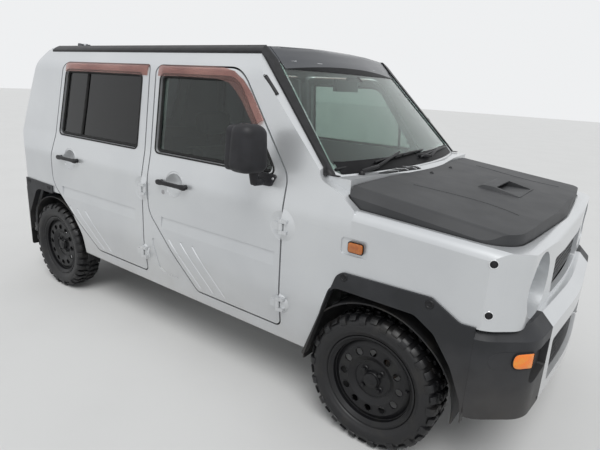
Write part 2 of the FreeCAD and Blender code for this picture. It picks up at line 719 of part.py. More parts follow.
def shoulder_ring():
    """The ring of blocks at the outer shoulder, as a toothed prism about the Y axis."""
    corners = []
    for i in range(LUG_COUNT):
        start = 360.0 / LUG_COUNT * i
        for angle, radius in ((0, TYRE_RADIUS - LUG_HEIGHT), (0.3, TYRE_RADIUS - 0.4)):
            corners.append((start + angle, radius))
        for angle, radius in ((LUG_ANGLE - 0.3, TYRE_RADIUS - 0.4), (LUG_ANGLE, TYRE_RADIUS - LUG_HEIGHT)):
            corners.append((start + angle, radius))
    points = []
    for angle, radius in corners + corners[:1]:
        turn = math.radians(angle)
        points.append(V(radius * math.cos(turn), LUG_START_Y - 2, radius * math.sin(turn)))
    disc = Part.Face(Part.makePolygon(points)).extrude(V(0, TYRE_WIDTH / 2 - 2 - LUG_START_Y, 0))
    return disc.cut(Part.makeCylinder(TYRE_RADIUS - 35, TYRE_WIDTH, V(0, 0, 0), V(0, 1, 0)))


def make_tyre():
    """A tyre about the Y axis at the origin, with blocks standing out of its outer shoulder."""
    bead = RIM_WIDTH / 2 - 12
    profile = [
        (RIM_SEAT_RADIUS, bead),
        (RIM_FLANGE_RADIUS + 0.3, bead + 6),
        (RIM_SEAT_RADIUS + 44, TYRE_WIDTH / 2),
        (TYRE_RADIUS - 32, TYRE_WIDTH / 2 - 1),
        (TYRE_RADIUS - 18, TYRE_WIDTH / 2 - 6),
        (TYRE_RADIUS - LUG_HEIGHT - 3, LUG_START_Y),
        (TYRE_RADIUS, LUG_START_Y),
        (TYRE_RADIUS, -LUG_START_Y - 16),
        (TYRE_RADIUS - 24, -TYRE_WIDTH / 2 + 2),
        (RIM_SEAT_RADIUS + 44, -TYRE_WIDTH / 2),
        (RIM_FLANGE_RADIUS + 0.3, -bead - 6),
        (RIM_SEAT_RADIUS, -bead),
    ]
    wire = Part.makePolygon([V(r, y, 0) for r, y in profile + profile[:1]])
    core = Part.Face(wire).revolve(V(0, 0, 0), V(0, 1, 0), 360)
    return core.fuse(shoulder_ring())


def placed(shape, x, y, z):
    """A copy of a shape moved to a place; y below zero also turns its outer side to the right."""
    copy = shape if y > 0 else flip(shape)
    return copy.translated(V(x, y, z))


def hinge_ears(half, depth):
    """The fixed half of an exposed hinge about the Z axis: two ears and the pin, reaching towards +X."""
    pin = rod((0, 0, -half), (0, 0, half), HINGE_PIN_RADIUS)
    ears = []
    for low, high in ((-half, -half / 2 - HINGE_PLAY), (half / 2 + HINGE_PLAY, half)):
        ears.append(rod((0, 0, low), (0, 0, high), HINGE_BARREL_RADIUS))
        ears.append(block((0, -depth, low), (HINGE_LEAF, HINGE_BARREL_RADIUS - 5, high)))
    return fuse([pin] + ears)


def hinge_knuckle(half, depth):
    """The moving half of an exposed hinge: a bored barrel between the ears, reaching towards -X."""
    middle = half / 2
    barrel = rod((0, 0, -middle), (0, 0, middle), HINGE_BARREL_RADIUS)
    foot = block((-HINGE_LEAF, -depth, -middle), (-DOOR_GAP, 0, middle))
    strap = block((-HINGE_LEAF, 1 - HINGE_BARREL_RADIUS, -middle), (0, HINGE_BARREL_RADIUS - 5, middle))
    bore = rod((0, 0, -half), (0, 0, half), HINGE_PIN_RADIUS + RUNNING_CLEARANCE)
    return fuse([barrel, foot, strap]).cut(bore)


def door_hinges(kind, x):
    """One half of both hinges of a left door; the lower one reaches further in to the leaning side."""
    hinges = []
    for z, _ in DOOR_HINGE_ZS:
        depth = HINGE_PROUD + PAD_DEPTH + 6 + BODY_HALF - flank_y(z - HINGE_HALF)
        hinges.append(kind(HINGE_HALF, depth).translated(V(x, HINGE_Y, z)))
    return hinges


def hinge_pads(x, inwards):
    """Shallow round caps of the flank at both hinges of a left door, proud of it or sunk into it."""
    caps = []
    for z, size in DOOR_HINGE_ZS:
        height = PAD_DEPTH + BODY_HALF - flank_y(z - size)
        ball = (size * size + height * height) / (2 * height)
        y = BODY_HALF + ball - PAD_DEPTH if inwards else BODY_HALF + PAD_DEPTH - ball
        caps.append(Part.makeSphere(ball, V(x, y, z)))
    return Part.makeCompound(caps)


def roof_hinges(kind):
    """One half of the two tailgate hinges, turned so that they lie across the car."""
    turned = kind(HINGE_HALF, HINGE_PROUD + 8)
    turned.rotate(V(0, 0, 0), V(1, 0, 0), 90)
    return [turned.translated(V(TAIL_HINGE_X, s * TAIL_HINGE_Y, TAIL_HINGE_Z)) for s in (-1, 1)]


def bent_bar(points, radius):
    """A round bar along straight runs, mitred at every bend."""
    path = Part.Wire([Part.LineSegment(V(*a), V(*b)).toShape() for a, b in zip(points, points[1:])])
    ring = Part.Wire(Part.makeCircle(radius, V(*points[0]), V(*points[1]) - V(*points[0])))
    return path.makePipeShell([ring], True, False, 1)


def slant_cutter(upper, lower):
    """The cutter of one slanting groove, which follows the flank's bend."""
    (x1, z1), (x2, z2) = upper, lower
    bend_z = SILL_Z + 240.0
    bend_x = x1 + (x2 - x1) * (z1 - bend_z) / (z1 - z2)
    points = [
        (x1, BODY_HALF + SLANT_PROUD, z1),
        (bend_x, BODY_HALF + SLANT_PROUD, bend_z),
        (x2, flank_y(z2) + SLANT_PROUD, z2),
    ]
    return bent_bar(points, SLANT_RADIUS)


def make_door(details):
    """A left door: a full-size outer skin and a slightly smaller inner frame, its pressings and its glass."""
    outline, window = details["outline"], details["window"]
    skin = layer(0.0, SKIN, left_region(outline, DOOR_GAP / 2))
    frame = layer(SKIN, WALL, left_region(outline, DOOR_GAP / 2 + DOOR_STEP))
    door = skin.fuse(frame).cut(left_region(window))
    low_x, high_x = details["groove"]
    groove = Part.makePolygon([
        V(low_x, BODY_HALF + 1, GROOVE_TOP_Z),
        V(low_x, BODY_HALF - GROOVE_DEPTH, GROOVE_TOP_Z - 1),
        V(low_x, BODY_HALF + 1, GROOVE_LOW_Z),
        V(low_x, BODY_HALF + 1, GROOVE_TOP_Z),
    ])
    door = door.cut(Part.Face(groove).extrude(V(high_x - low_x, 0, 0)))
    ball = (DISH_RADIUS ** 2 + DISH_DEPTH ** 2) / (2 * DISH_DEPTH)
    door = door.cut(Part.makeSphere(ball, V(details["handle_x"], BODY_HALF + ball - DISH_DEPTH, HANDLE_Z)))
    for upper, lower in details["slants"]:
        door = door.cut(slant_cutter(upper, lower))
    door = door.cut(hinge_pads(details["hinge_x"], True))
    door = fuse([door] + door_hinges(hinge_knuckle, details["hinge_x"]))
    glass = layer(SKIN - GLASS_THICKNESS, SKIN, left_region(window))
    return door, glass


def make_handle(x):
    """A pull bar with round ends, on two feet across the dish in the left skin."""
    bar = side_slab([
        (x - HANDLE_HALF, HANDLE_Z - 14, 13.9),
        (x + HANDLE_HALF, HANDLE_Z - 14, 13.9),
        (x + HANDLE_HALF, HANDLE_Z + 14, 13.9),
        (x - HANDLE_HALF, HANDLE_Z + 14, 13.9),
    ], BODY_HALF + 5, BODY_HALF + 19)
    reach = HANDLE_HALF - 22
    feet = [rod((x + s * reach, BODY_HALF - 2, HANDLE_Z), (x + s * reach, BODY_HALF + 6, HANDLE_Z), 11) for s in (-1, 1)]
    return fuse([bar] + feet)


def make_mirror():
    """The left door mirror: a tall rounded housing on a bracket."""
    outline = [
        (front(-652.5), 1052, 40), (front(-467.5), 1044, 40), (front(-489.5), 1232, 62), (front(-632.5), 1244, 62),
    ]
    inner_y, outer_y = BODY_HALF + 40.5, BODY_HALF + 170.5
    plan = [
        (front(-662.5), inner_y, 20), (front(-662.5), outer_y, 35), (front(-537.5), outer_y, 80), (front(-462.5), inner_y, 40),
    ]
    housing = side_slab(outline, inner_y, outer_y).common(plan_slab(plan, 1000, 1300))
    arm = block((front(-607.5), side(29.5), 985), (front(-532.5), BODY_HALF + 70.5, 1005))
    post = block((front(-592.5), BODY_HALF + 45.5, 985), (front(-542.5), BODY_HALF + 70.5, 1060))
    return fuse([housing, arm, post])


def make_liner(axle_x, inner_y, tower):
    """The left wheel house lining: a half drum, and in front also the tower for the strut."""
    outer = wheel_well(axle_x, inner_y, LINER_RADIUS + LINER_WALL)
    inner = wheel_well(axle_x, inner_y + LINER_WALL, LINER_RADIUS)
    if tower:
        high = (axle_x + TOWER_HALF, TOWER_OUTER_Y, TOWER_TOP_Z + LINER_WALL)
        outer = outer.fuse(block((axle_x - TOWER_HALF, inner_y, 400), high))
        room = TOWER_HALF - LINER_WALL
        high = (axle_x + room, TOWER_OUTER_Y - LINER_WALL, TOWER_TOP_Z)
        inner = inner.fuse(block((axle_x - room, inner_y + LINER_WALL, 400), high))
    lining = outer.cut(inner)
    arms = block((axle_x - 200, inner_y - 1, 150), (axle_x + 200, inner_y + LINER_WALL + 1, 430))
    keep = block((axle_x - 400, 0, 250), (axle_x + 400, WIDTH, 900))
    return outer, lining.cut(arms).common(keep)


def hex_holes(outline, low, high):
    """Six-sided holes in staggered rows over an outline that lies across the car."""
    half = max(y for y, _, _ in outline)
    bottom = min(z for _, z, _ in outline)
    top = max(z for _, z, _ in outline)
    rise = MESH_PITCH * math.sqrt(3) / 2
    rows = int((top - bottom) / rise)
    holes = []
    for row in range(rows):
        z = (top + bottom) / 2 + (row - (rows - 1) / 2) * rise
        count = int((2 * half - MESH_PITCH) / MESH_PITCH) - row % 2
        for i in range(count):
            y = (i - (count - 1) / 2) * MESH_PITCH
            turns = [math.pi / 3 * k + math.pi / 6 for k in range(7)]
            ring = [V(low, y + MESH_HOLE * math.cos(t), z + MESH_HOLE * math.sin(t)) for t in turns]
            holes.append(Part.Face(Part.makePolygon(ring)).extrude(V(high - low, 0, 0)))
    return Part.makeCompound(holes)


NODES = {}


def add(name, shape):
    """Keeps one named piece."""
    NODES[name] = shape


# Body shell, and the pieces cut out of its wall
outer_wells = []
linings = []
for axle_x, inner_y, tower in ((FRONT_AXLE_X, FRONT_WELL_Y, True), (REAR_AXLE_X, REAR_WELL_Y, False)):
    outer, lining = make_liner(axle_x, inner_y, tower)
    outer_wells.append(outer.common(block((REAR_X, 0, 0), (FRONT_X, BODY_HALF - WALL, ABOVE_Z))))
    linings.append(lining)

glass_region = front_slab(SCREEN_GLASS, SCREEN_TOP_X - 57, FRONT_AXLE_X)
roof_region = block((ROOF_REAR_X - 3, -ROOF_HALF, 1450), (ROOF_FRONT_X, ROOF_HALF, ABOVE_Z))
roof = layer(0.0, ROOF_THICKNESS, roof_region)
shell = make_body().cut(roof)
shell = shell.cut(block((TAIL_FACE_X + WALL, -REAR_WELL_Y, 200), (REAR_KICK_X, REAR_WELL_Y, UNDER_REAR_Z)))
for well in outer_wells:
    shell = shell.cut(well).cut(flip(well))
arches = [side_slab(FRONT_ARCH, side(129.5), WIDTH), side_slab(REAR_ARCH, side(129.5), WIDTH)]
for arch in arches:
    shell = shell.cut(arch).cut(flip(arch))
wing_region = block((FRONT_HINGE_X, side(129.5), 0), (NOSE_SPLIT_X, WIDTH, 1032))
wing = layer(0.0, SKIN, wing_region).common(shell)
shell = shell.cut(wing).cut(flip(wing))
nose_region = block((NOSE_SPLIT_X, -WIDTH, 0), (FRONT_X, WIDTH, 1200))
nose_panel = shell.common(nose_region).common(block((nose(297.5), -WIDTH, BUMPER_TOP - 10), (FRONT_X, WIDTH, 1200)))
shell = shell.cut(nose_region)
roof = roof.cut(glass_region)
pitch = 2 * (ROOF_HALF - 70) / ROOF_RIBS
grooves = []
for i in range(ROOF_RIBS + 1):
    y = (i - ROOF_RIBS / 2) * pitch
    grooves.append(block((ROOF_REAR_X + 110, y - 9, 1500), (ROOF_FRONT_X - 90, y + 9, ABOVE_Z)))
roof = roof.cut(layer(0.0, 5.0, Part.makeCompound(grooves)))
roof = fuse([roof] + roof_hinges(hinge_ears))
for details in DOOR_DETAILS.values():
    hole = left_region(details["outline"], -DOOR_GAP / 2)
    shell = shell.cut(hole).cut(flip(hole))
tail_region = front_slab(TAILGATE, REAR_X - 100, ROOF_REAR_X - 10, DOOR_GAP / 2)
shell = shell.cut(front_slab(TAILGATE, REAR_X - 100, ROOF_REAR_X - 2, -DOOR_GAP / 2))
shell = shell.cut(front_slab(SCREEN_GLASS, SCREEN_TOP_X - 57, FRONT_AXLE_X, 24.0))
shell = shell.cut(layer(0.0, 8.0, glass_region))
tail_lamp = layer(0.0, 14.0, front_slab(TAIL_LAMP, REAR_X - 100, tail(137.5)))
shell = shell.cut(tail_lamp).cut(flip(tail_lamp))
rails = [block((FIREWALL_X + 1, s * 360 - 28, 400), (nose(177.5), s * 360 + 28, 480)) for s in (-1, 1)]
crossmember = block((nose(217.5), -side(129.5), 400), (nose(177.5), side(129.5), 520))
jack_pads = []
for x in JACK_XS:
    for s in (-1, 1):
        jack_pads.append(block((x - 30, s * JACK_Y - 15, SILL_Z - JACK_PAD), (x + 30, s * JACK_Y + 15, SILL_Z + 5)))
pad_room = block((REAR_HINGE_X, side(129.5), 0), (rear(1011.5), WIDTH, 1000))
rear_pads = hinge_pads(REAR_HINGE_X, False).common(pad_room).cut(envelope(SKIN))
rear_pins = [rod((REAR_HINGE_X, HINGE_Y, z - HINGE_HALF), (REAR_HINGE_X, HINGE_Y, z + HINGE_HALF), 15) for z, _ in DOOR_HINGE_ZS]
rear_pads = rear_pads.cut(Part.makeCompound(rear_pins))
shell = shell.cut(layer(0.0, 4.0, left_region(PILLAR_PAN))).cut(flip(layer(0.0, 4.0, left_region(PILLAR_PAN))))
ears = door_hinges(hinge_ears, REAR_HINGE_X)
shell = fuse([shell, crossmember] + rails + jack_pads + pair(rear_pads) + ears + [flip(ear) for ear in ears])
add("body_shell", shell)
add("roof_panel", roof)
add("windscreen", layer(2.0, 2.0 + SCREEN_THICKNESS, glass_region))
add("tail_lamps", both(tail_lamp))

wing = wing.cut(layer(0.0, 5.0, left_region(MARKER_PAN)))
front_pads = hinge_pads(FRONT_HINGE_X, False).common(block((FRONT_HINGE_X, 0, 0), (NOSE_SPLIT_X, WIDTH, 1000)))
front_pins = [rod((FRONT_HINGE_X, HINGE_Y, z - HINGE_HALF), (FRONT_HINGE_X, HINGE_Y, z + HINGE_HALF), 15) for z, _ in DOOR_HINGE_ZS]
front_pads = front_pads.cut(envelope(SKIN)).cut(Part.makeCompound(front_pins))
wing_ears = [ear.cut(envelope(SKIN)) for ear in door_hinges(hinge_ears, FRONT_HINGE_X)]
add("front_wings", both(fuse([wing, front_pads] + wing_ears)))

strip = envelope(-8.0).common(front_slab(STRIP, ROOF_REAR_X, SCREEN_FOOT_X)).cut(envelope(0.0))
add("roof_strips", both(strip))

# Nose, bumpers and cladding
mouth = front_slab(GRILLE, nose(197.5), FRONT_X)
tunnel_start = nose(197.5)
tunnels = []
holes = []
for s in (-1, 1):
    at = V(tunnel_start, s * LAMP_Y, LAMP_Z)
    tunnels.append(Part.makeCylinder(LAMP_RADIUS + TUNNEL_WALL, 115, at, V(1, 0, 0)))
    holes.append(Part.makeCylinder(LAMP_RADIUS, 300, at - V(50, 0, 0), V(1, 0, 0)))
nose_panel = nose_panel.fuse(Part.makeCompound(tunnels).common(envelope(0.0)))
nose_panel = nose_panel.cut(Part.makeCompound(holes)).cut(mouth)
buffer_top = bonnet_rim_z(BUFFER_X - 8) - 0.1
buffers = [rod((BUFFER_X, s * BUFFER_Y, 905), (BUFFER_X, s * BUFFER_Y, buffer_top), 8) for s in (-1, 1)]
add("front_panel", fuse([nose_panel] + buffers))
lamps = [Part.makeCylinder(LAMP_RADIUS, 30, V(LAMP_BACK_X, s * LAMP_Y, LAMP_Z), V(1, 0, 0)) for s in (-1, 1)]
add("headlamps", Part.makeCompound(lamps))
mesh = front_slab(GRILLE, NOSE_FACE_X - 34, NOSE_FACE_X - 26, -6.0).cut(nose_panel)
mesh = mesh.cut(hex_holes(GRILLE, nose(197.5), FRONT_X))

outer_bumper = bumper_solid(FRONT_BUMPER, 0.0)
bumper = outer_bumper.cut(bumper_solid(FRONT_BUMPER, BUMPER_WALL))
bumper = bumper.cut(plan_slab(FRONT_BUMPER, 200, BUMPER_BEND - 20, BUMPER_WALL))
bumper = bumper.cut(envelope(0.0).common(block((0, -WIDTH, BUMPER_TOP - 10.4), (FRONT_X, WIDTH, 1200))))
bumper = bumper.common(block((NOSE_SPLIT_X + 4, -WIDTH, 0), (FRONT_X + 1, WIDTH, 1200)))
middle = block((NOSE_SPLIT_X, -BUMPER_SPLIT_Y, 0), (FRONT_X + 1, BUMPER_SPLIT_Y, 800))
stays = [block((nose(177.5), s * 360 - 28, 420), (nose(7.5), s * 360 + 28, 480)) for s in (-1, 1)]
intake_room = front_slab(INTAKE, nose(177.5), FRONT_X + 1)
insert = bumper_solid(FRONT_BUMPER, 18.0).cut(plan_slab(FRONT_BUMPER, 200, BUMPER_TOP, BUMPER_WALL - 2))
slots = []
for z in INTAKE_SLOT_ZS:
    for i in range(-2, 3):
        slots.append(block((nose(177.5), i * 156 - 70, z - 13), (FRONT_X + 1, i * 156 + 70, z + 13)))
insert = insert.common(intake_room).cut(Part.makeCompound(slots))
stays = [stay.common(bumper_solid(FRONT_BUMPER, BUMPER_WALL)) for stay in stays]
add("bumper_centre", fuse([bumper.common(middle).cut(intake_room)] + [stay.fuse(
    stay.common(bumper)) for stay in stays]))
add("grille", Part.makeCompound([mesh, insert]))
corner = bumper.cut(middle).common(block((0, 0, 0), (FRONT_X, WIDTH, 1200))).cut(arches[0])
pocket = front_slab(FOG_POCKET, nose(177.5), FRONT_X).cut(bumper_solid(FRONT_BUMPER, BUMPER_WALL - 6))
lamp_room = front_slab(CORNER_LAMP, nose(177.5), FRONT_X)
corner = corner.cut(pocket).cut(lamp_room.cut(bumper_solid(FRONT_BUMPER, 8.0)))
corner_lamp = lamp_room.common(bumper_solid(FRONT_BUMPER, -1.0)).cut(bumper_solid(FRONT_BUMPER, 8.0))

flares = []
for outline, arch in ((FRONT_FLARE, FRONT_ARCH), (REAR_FLARE, REAR_ARCH)):
    over = side_slab(outline, side(89.5), WIDTH / 2).cut(envelope(0.0)).cut(side_slab(arch, side(129.5), WIDTH))
    lip = side_slab(arch, side(25.5), WIDTH / 2).cut(side_slab(arch, side(129.5), WIDTH, FLARE_LIP))
    lip = lip.common(side_slab(outline, side(129.5), WIDTH))
    flares.append(over.fuse(lip).removeSplitter())
flare_room = block((0, side(129.5), 0), (NOSE_SPLIT_X + 8, WIDTH / 2, 900))
front_cladding = flares[0].common(flare_room).cut(wing).multiFuse([corner])
add("front_cladding", both(front_cladding))

rear_bar = bumper_solid(REAR_BUMPER, 0.0).cut(envelope(0.0)).cut(arches[1]).cut(flip(arches[1]))
rear_bar = rear_bar.common(block((REAR_X - 1, -WIDTH, 0), (tail(137.5), WIDTH, 1200)))
rear_middle = block((REAR_X - 1, -side(229.5), 0), (tail(297.5), side(229.5), 800))
add("rear_bumper", rear_bar.common(rear_middle))
rear_corner = rear_bar.cut(rear_middle).common(block((REAR_X - 1, 0, 0), (0, WIDTH, 1200)))
rear_flare = flares[1].common(block((tail(137.5), side(129.5), 0), (0, WIDTH, 900))).cut(shell)
rear_cladding = fuse([rear_flare, rear_corner])
add("rear_cladding", both(rear_cladding))

marker = side_slab(MARKER, side(129.5), BODY_HALF + 3).cut(envelope(5.0))
add("indicators", Part.makeCompound(pair(marker) + pair(corner_lamp)))

liners = []
for lining in linings:
    room = envelope(SKIN).fuse(block((tail(97.5), 0, 200), (nose(197.5), side(39.5), 400)))
    lining = lining.common(room).cut(shell).cut(wing).cut(front_cladding).cut(rear_cladding)
    liners.extend(pair(lining))
add("wheel_liners", Part.makeCompound(liners))

# Doors, tailgate and bonnet
for end, details in DOOR_DETAILS.items():
    door, glass = make_door(details)
    fittings = [make_handle(details["handle_x"])]
    if end == "front":
        fittings.append(make_mirror())
    fittings = Part.makeCompound(fittings).cut(door)
    for flank, turn in (("left", lambda s: s), ("right", flip)):
        add("door_%s_%s" % (end, flank), turn(door))
        add("door_glass_%s_%s" % (end, flank), turn(glass))
        add("door_fittings_%s_%s" % (end, flank), turn(fittings))
tail_window = front_slab(TAILGATE_WINDOW, REAR_X - 100, tail(497.5))
tailgate = layer(0.0, WALL, tail_region).cut(tail_window)
pad_length, pad_height, pad_proud = PLATE_PAD
pad_x = TAIL_FACE_X - pad_proud
pad_low = (pad_x, -pad_length / 2, PLATE_Z - pad_height / 2)
tailgate = tailgate.fuse(block(pad_low, (pad_x + 14, pad_length / 2, PLATE_Z + pad_height / 2)))
for s in (-1, 1):
    y = s * PLATE_BOLT_SPACING / 2
    tailgate = tailgate.cut(rod((pad_x - 1, y, PLATE_Z), (pad_x + 80, y, PLATE_Z), PLATE_BOLT_HOLE))
add("tailgate", fuse([tailgate] + roof_hinges(hinge_knuckle)))
add("tailgate_glass", layer(SKIN - GLASS_THICKNESS, SKIN, tail_window))
add("tailgate_handle", block((TAIL_FACE_X - 18, -180, 905), (TAIL_FACE_X + 32, 180, 945)).cut(envelope(0.0)))
add("bonnet", make_bonnet())

# Wheels and what carries them
rim, tyre = make_rim(), make_tyre()
for end, axle_x in (("front", FRONT_AXLE_X), ("rear", REAR_AXLE_X)):
    for flank, s in (("left", 1), ("right", -1)):
        add("rim_%s_%s" % (end, flank), placed(rim, axle_x, s * WHEEL_Y, TYRE_RADIUS))
        add("tyre_%s_%s" % (end, flank), placed(tyre, axle_x, s * WHEEL_Y, TYRE_RADIUS))

stub_y = WHEEL_Y + STUB_REACH
knuckle = fuse([
    block((front(-30), WHEEL_Y - 71, TYRE_RADIUS - 74), (front(30), WHEEL_Y - 19, TYRE_RADIUS + 72)),
    rod((FRONT_AXLE_X, WHEEL_Y - 45, TYRE_RADIUS), (FRONT_AXLE_X, stub_y, TYRE_RADIUS), STUB_RADIUS),
    rod((FRONT_AXLE_X, king_y(320), 320), (FRONT_AXLE_X, king_y(KING_TOP_Z + 12), KING_TOP_Z + 12), 19),
    rod((FRONT_AXLE_X, king_y(ARM_END_Z + 1.9), ARM_END_Z + 1.9), (FRONT_AXLE_X, king_y(ARM_END_Z + 12), ARM_END_Z + 12), 9),
    rod((front(-10), WHEEL_Y - 53, 250), (front(-115), WHEEL_Y - 85, 250), 12),
])
add("knuckle_left", knuckle)
add("knuckle_right", flip(knuckle))

ball_y = KING_LOW_Y - 6
arm_y = WHEEL_Y - 105
arm = fuse([
    rod((front(-77.5), 340, 240), (FRONT_AXLE_X, arm_y, 213), 14),
    rod((front(77.5), 340, 240), (FRONT_AXLE_X, arm_y, 213), 14),
    rod((FRONT_AXLE_X, arm_y - 10, 200), (FRONT_AXLE_X, ball_y, 186), 10),
    block((front(-16), ball_y - 12, 174), (front(16), ball_y + 22, ARM_END_Z)),
])
legs = [block((front(s * 77.5) - 22, 334, 225), (front(s * 77.5) + 22, 386, 400)) for s in (-1, 1)]
beam = block((front(-99.5), -386, 222), (front(99.5), 386, 262))
add("front_subframe", fuse([beam, arm, flip(arm)] + legs + [flip(leg) for leg in legs]))

hub_y = WHEEL_Y - 55
axle_end = fuse([
    rod((REAR_AXLE_X, -1, TYRE_RADIUS), (REAR_AXLE_X, hub_y + 10, TYRE_RADIUS), 28),
    rod((REAR_AXLE_X, hub_y, TYRE_RADIUS), (REAR_AXLE_X, stub_y, TYRE_RADIUS), STUB_RADIUS),
    block((rear(-45), hub_y, TYRE_RADIUS - 45), (rear(45), hub_y + 36, TYRE_RADIUS + 45)),
    rod((REAR_AXLE_X, 420, TYRE_RADIUS), (rear(392.5), 420, 282), 15),
    block((rear(362.5), 400, 262), (rear(422.5), 440, SILL_Z)),
    rod((rear(-40), 420, TYRE_RADIUS), (rear(-40), 420, UNDER_REAR_Z), 20),
    rod((REAR_AXLE_X, 420, 282), (rear(-40), 420, 282), 15),
])
add("rear_axle", fuse([axle_end, flip(axle_end)]))

engine_half = FRONT_WELL_Y - 68
add("engine_block", block((front(-97.5), -engine_half, 330), (nose(257.5), engine_half, 800)))
tank_front, tank_rear = rear(872.5), rear(422.5)
tank = [(tank_rear, 205, 30), (tank_front, 205, 30), (tank_front, SILL_Z, 0), (tank_rear, SILL_Z, 0)]
add("fuel_tank", side_slab(tank, -330, 330))
silencer_front, silencer_rear = tail(257.5), tail(87.5)
pipe_z = SILL_Z - 21.3
pipe = bent_bar([
    (front(-97.8), 120, 420),
    (front(-122.5), 120, 420),
    (front(-122.5), 120, pipe_z),
    (tank_front + 230, 120, pipe_z),
    (tank_front + 50, 372, pipe_z),
    (rear(287.5), 372, pipe_z),
    (rear(192.5), 372, 372),
    (rear(-127.5), 372, 372),
    (rear(-167.5), 240, 380),
    (silencer_front - 1, 240, 380),
], 21)
tail_pipe = bent_bar([(silencer_rear + 20, 180, 345), (silencer_rear + 10, 180, pipe_z), (tail(14), 180, pipe_z)], 18)
silencer = side_slab([
    (silencer_rear, 330, 30),
    (silencer_front, 330, 30),
    (silencer_front, UNDER_REAR_Z - SEAT_GAP, 30),
    (silencer_rear, UNDER_REAR_Z - SEAT_GAP, 30),
], -260, 260)
add("exhaust", fuse([pipe, silencer, tail_pipe]))

# Inside
column = rod((FIREWALL_X - 215, -SEAT_Y, 800), (FIREWALL_X - 370, -SEAT_Y, 872), 32)
add("dashboard", fuse([side_slab(DASH, -side(89.5), side(89.5)), column]))
hub = V(*STEERING_HUB)
axis = V(*STEERING_AXIS)
axis.normalize()
wheel_parts = [Part.makeTorus(WHEEL_RIM_RADIUS, 14, hub, axis), rod(tuple(hub + axis * -49.4), tuple(hub + axis * 8), 34)]
for turn in (90, 210, 330):
    spoke = block((0, -16, -9), (WHEEL_RIM_RADIUS, 16, 3))
    spoke.rotate(V(0, 0, 0), V(0, 0, 1), turn)
    spoke.rotate(V(0, 0, 0), V(0, 1, 0), -math.degrees(math.acos(axis.z)))
    spoke.translate(hub)
    wheel_parts.append(spoke)
add("steering_wheel", fuse(wheel_parts))

frames = []
for flank, y in (("left", SEAT_Y), ("right", -SEAT_Y)):
    head = side_slab(HEADREST, y - 130, y + 130)
    seat = [side_slab(outline, y - SEAT_HALF, y + SEAT_HALF) for outline in (CUSHION, SEAT_BACK)]
    add("front_seat_" + flank, fuse(seat + [head]))
    frames.append(block((-40, y - 190, FLOOR_TOP), (380, y + 190, 480)))
add("rear_seat", fuse([side_slab(outline, -side(129.5), side(129.5)) for outline in (REAR_CUSHION, REAR_BACK)]))
frames.append(block((rear(412.5), -500, FLOOR_TOP), (rear(812.5), 500, 485)))
frames = Part.makeCompound(frames)
for seat in ("front_seat_left", "front_seat_right", "rear_seat"):
    frames = frames.cut(NODES[seat])
add("seat_frames", frames)

mirror_x = SCREEN_TOP_X + 15
mirror_z = ROOF_CREST_Z - 202
stem = block((mirror_x + 16, -12, mirror_z + 50), (mirror_x + 128, 12, mirror_z + 74)).common(envelope(8.0))
add("interior_mirror", fuse([block((mirror_x, -105, mirror_z), (mirror_x + 22, 105, mirror_z + 60)), stem]))
wipers = []
for y, reach in ((-450, 430), (130, 380)):
    x = front(-222.5)
    wiper = fuse([
        rod((x, y, 1050), (x, y, 1086), 12),
        block((x - 5, y, 1074), (x + 5, y + reach, 1082)),
        block((x - 13, y + 60, 1062), (x - 5, y + reach + 60, 1082)),
    ])
    wipers.append(wiper.cut(envelope(0.0)))
add("wipers", Part.makeCompound(wipers))

os.makedirs("parts", exist_ok=True)
for name, shape in NODES.items():
    shape.exportStep("parts/%s.step" % name)
    print(name, len(shape.Solids), shape.isValid(), round(shape.Volume / 1e6, 2))
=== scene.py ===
# %% [markdown]
# # A small upright car, dressed around its CAD frame
# The part is a small silver car with exposed door hinges, a matte bonnet and chunky tyres. The CAD
# bodies are already in place, in metres, so this script only gives every body its finish and adds
# the pieces that make a real car look real: rubber, mesh, seals, lamps and cloth. Each cell does
# one job and says why.

import math

import bmesh
import bpy
from mathutils import Matrix, Vector
from mathutils.bvhtree import BVHTree


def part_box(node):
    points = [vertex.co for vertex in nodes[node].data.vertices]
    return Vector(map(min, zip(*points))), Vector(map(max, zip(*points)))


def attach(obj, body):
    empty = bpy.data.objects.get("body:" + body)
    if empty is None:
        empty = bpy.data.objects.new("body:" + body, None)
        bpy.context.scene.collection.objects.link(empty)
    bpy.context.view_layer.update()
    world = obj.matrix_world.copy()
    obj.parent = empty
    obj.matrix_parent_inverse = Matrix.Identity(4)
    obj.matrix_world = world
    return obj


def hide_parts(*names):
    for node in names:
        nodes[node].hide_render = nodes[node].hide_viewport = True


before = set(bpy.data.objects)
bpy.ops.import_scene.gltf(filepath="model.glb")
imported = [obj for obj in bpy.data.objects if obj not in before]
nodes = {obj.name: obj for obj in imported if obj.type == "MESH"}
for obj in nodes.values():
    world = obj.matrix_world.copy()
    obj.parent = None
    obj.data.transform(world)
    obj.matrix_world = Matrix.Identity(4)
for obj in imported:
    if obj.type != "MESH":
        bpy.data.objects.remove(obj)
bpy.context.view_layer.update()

# %% [markdown]
# ## Places
# The same few lengths fix most pieces, so they are named once. X points forward, Y to the car's
# left and Z up. The photograph shows the right flank, which is the side with negative Y. Each of
# the four places, such as front_left, has a wheel and a door.

# %% Lengths in metres
AXLE_X = {"front": 1.1075, "rear": -1.2525}
WHEEL_Y = 0.645
AXLE_Z = 0.280
SIDES = (("left", 1), ("right", -1))
PLACES = [("%s_%s" % (end, flank), end, s) for end in AXLE_X for flank, s in SIDES]
print("places:", ", ".join(place for place, _, _ in PLACES))

# %% [markdown]
# ## Camera
# The camera's place and turn were solved from the photograph: the ellipses of the wheels, the
# pillars and the corners of the windows all have known places on the car. A camera looks along its
# own -Z, so the three columns of its matrix are its right, its up and the direction from the car
# back to it.

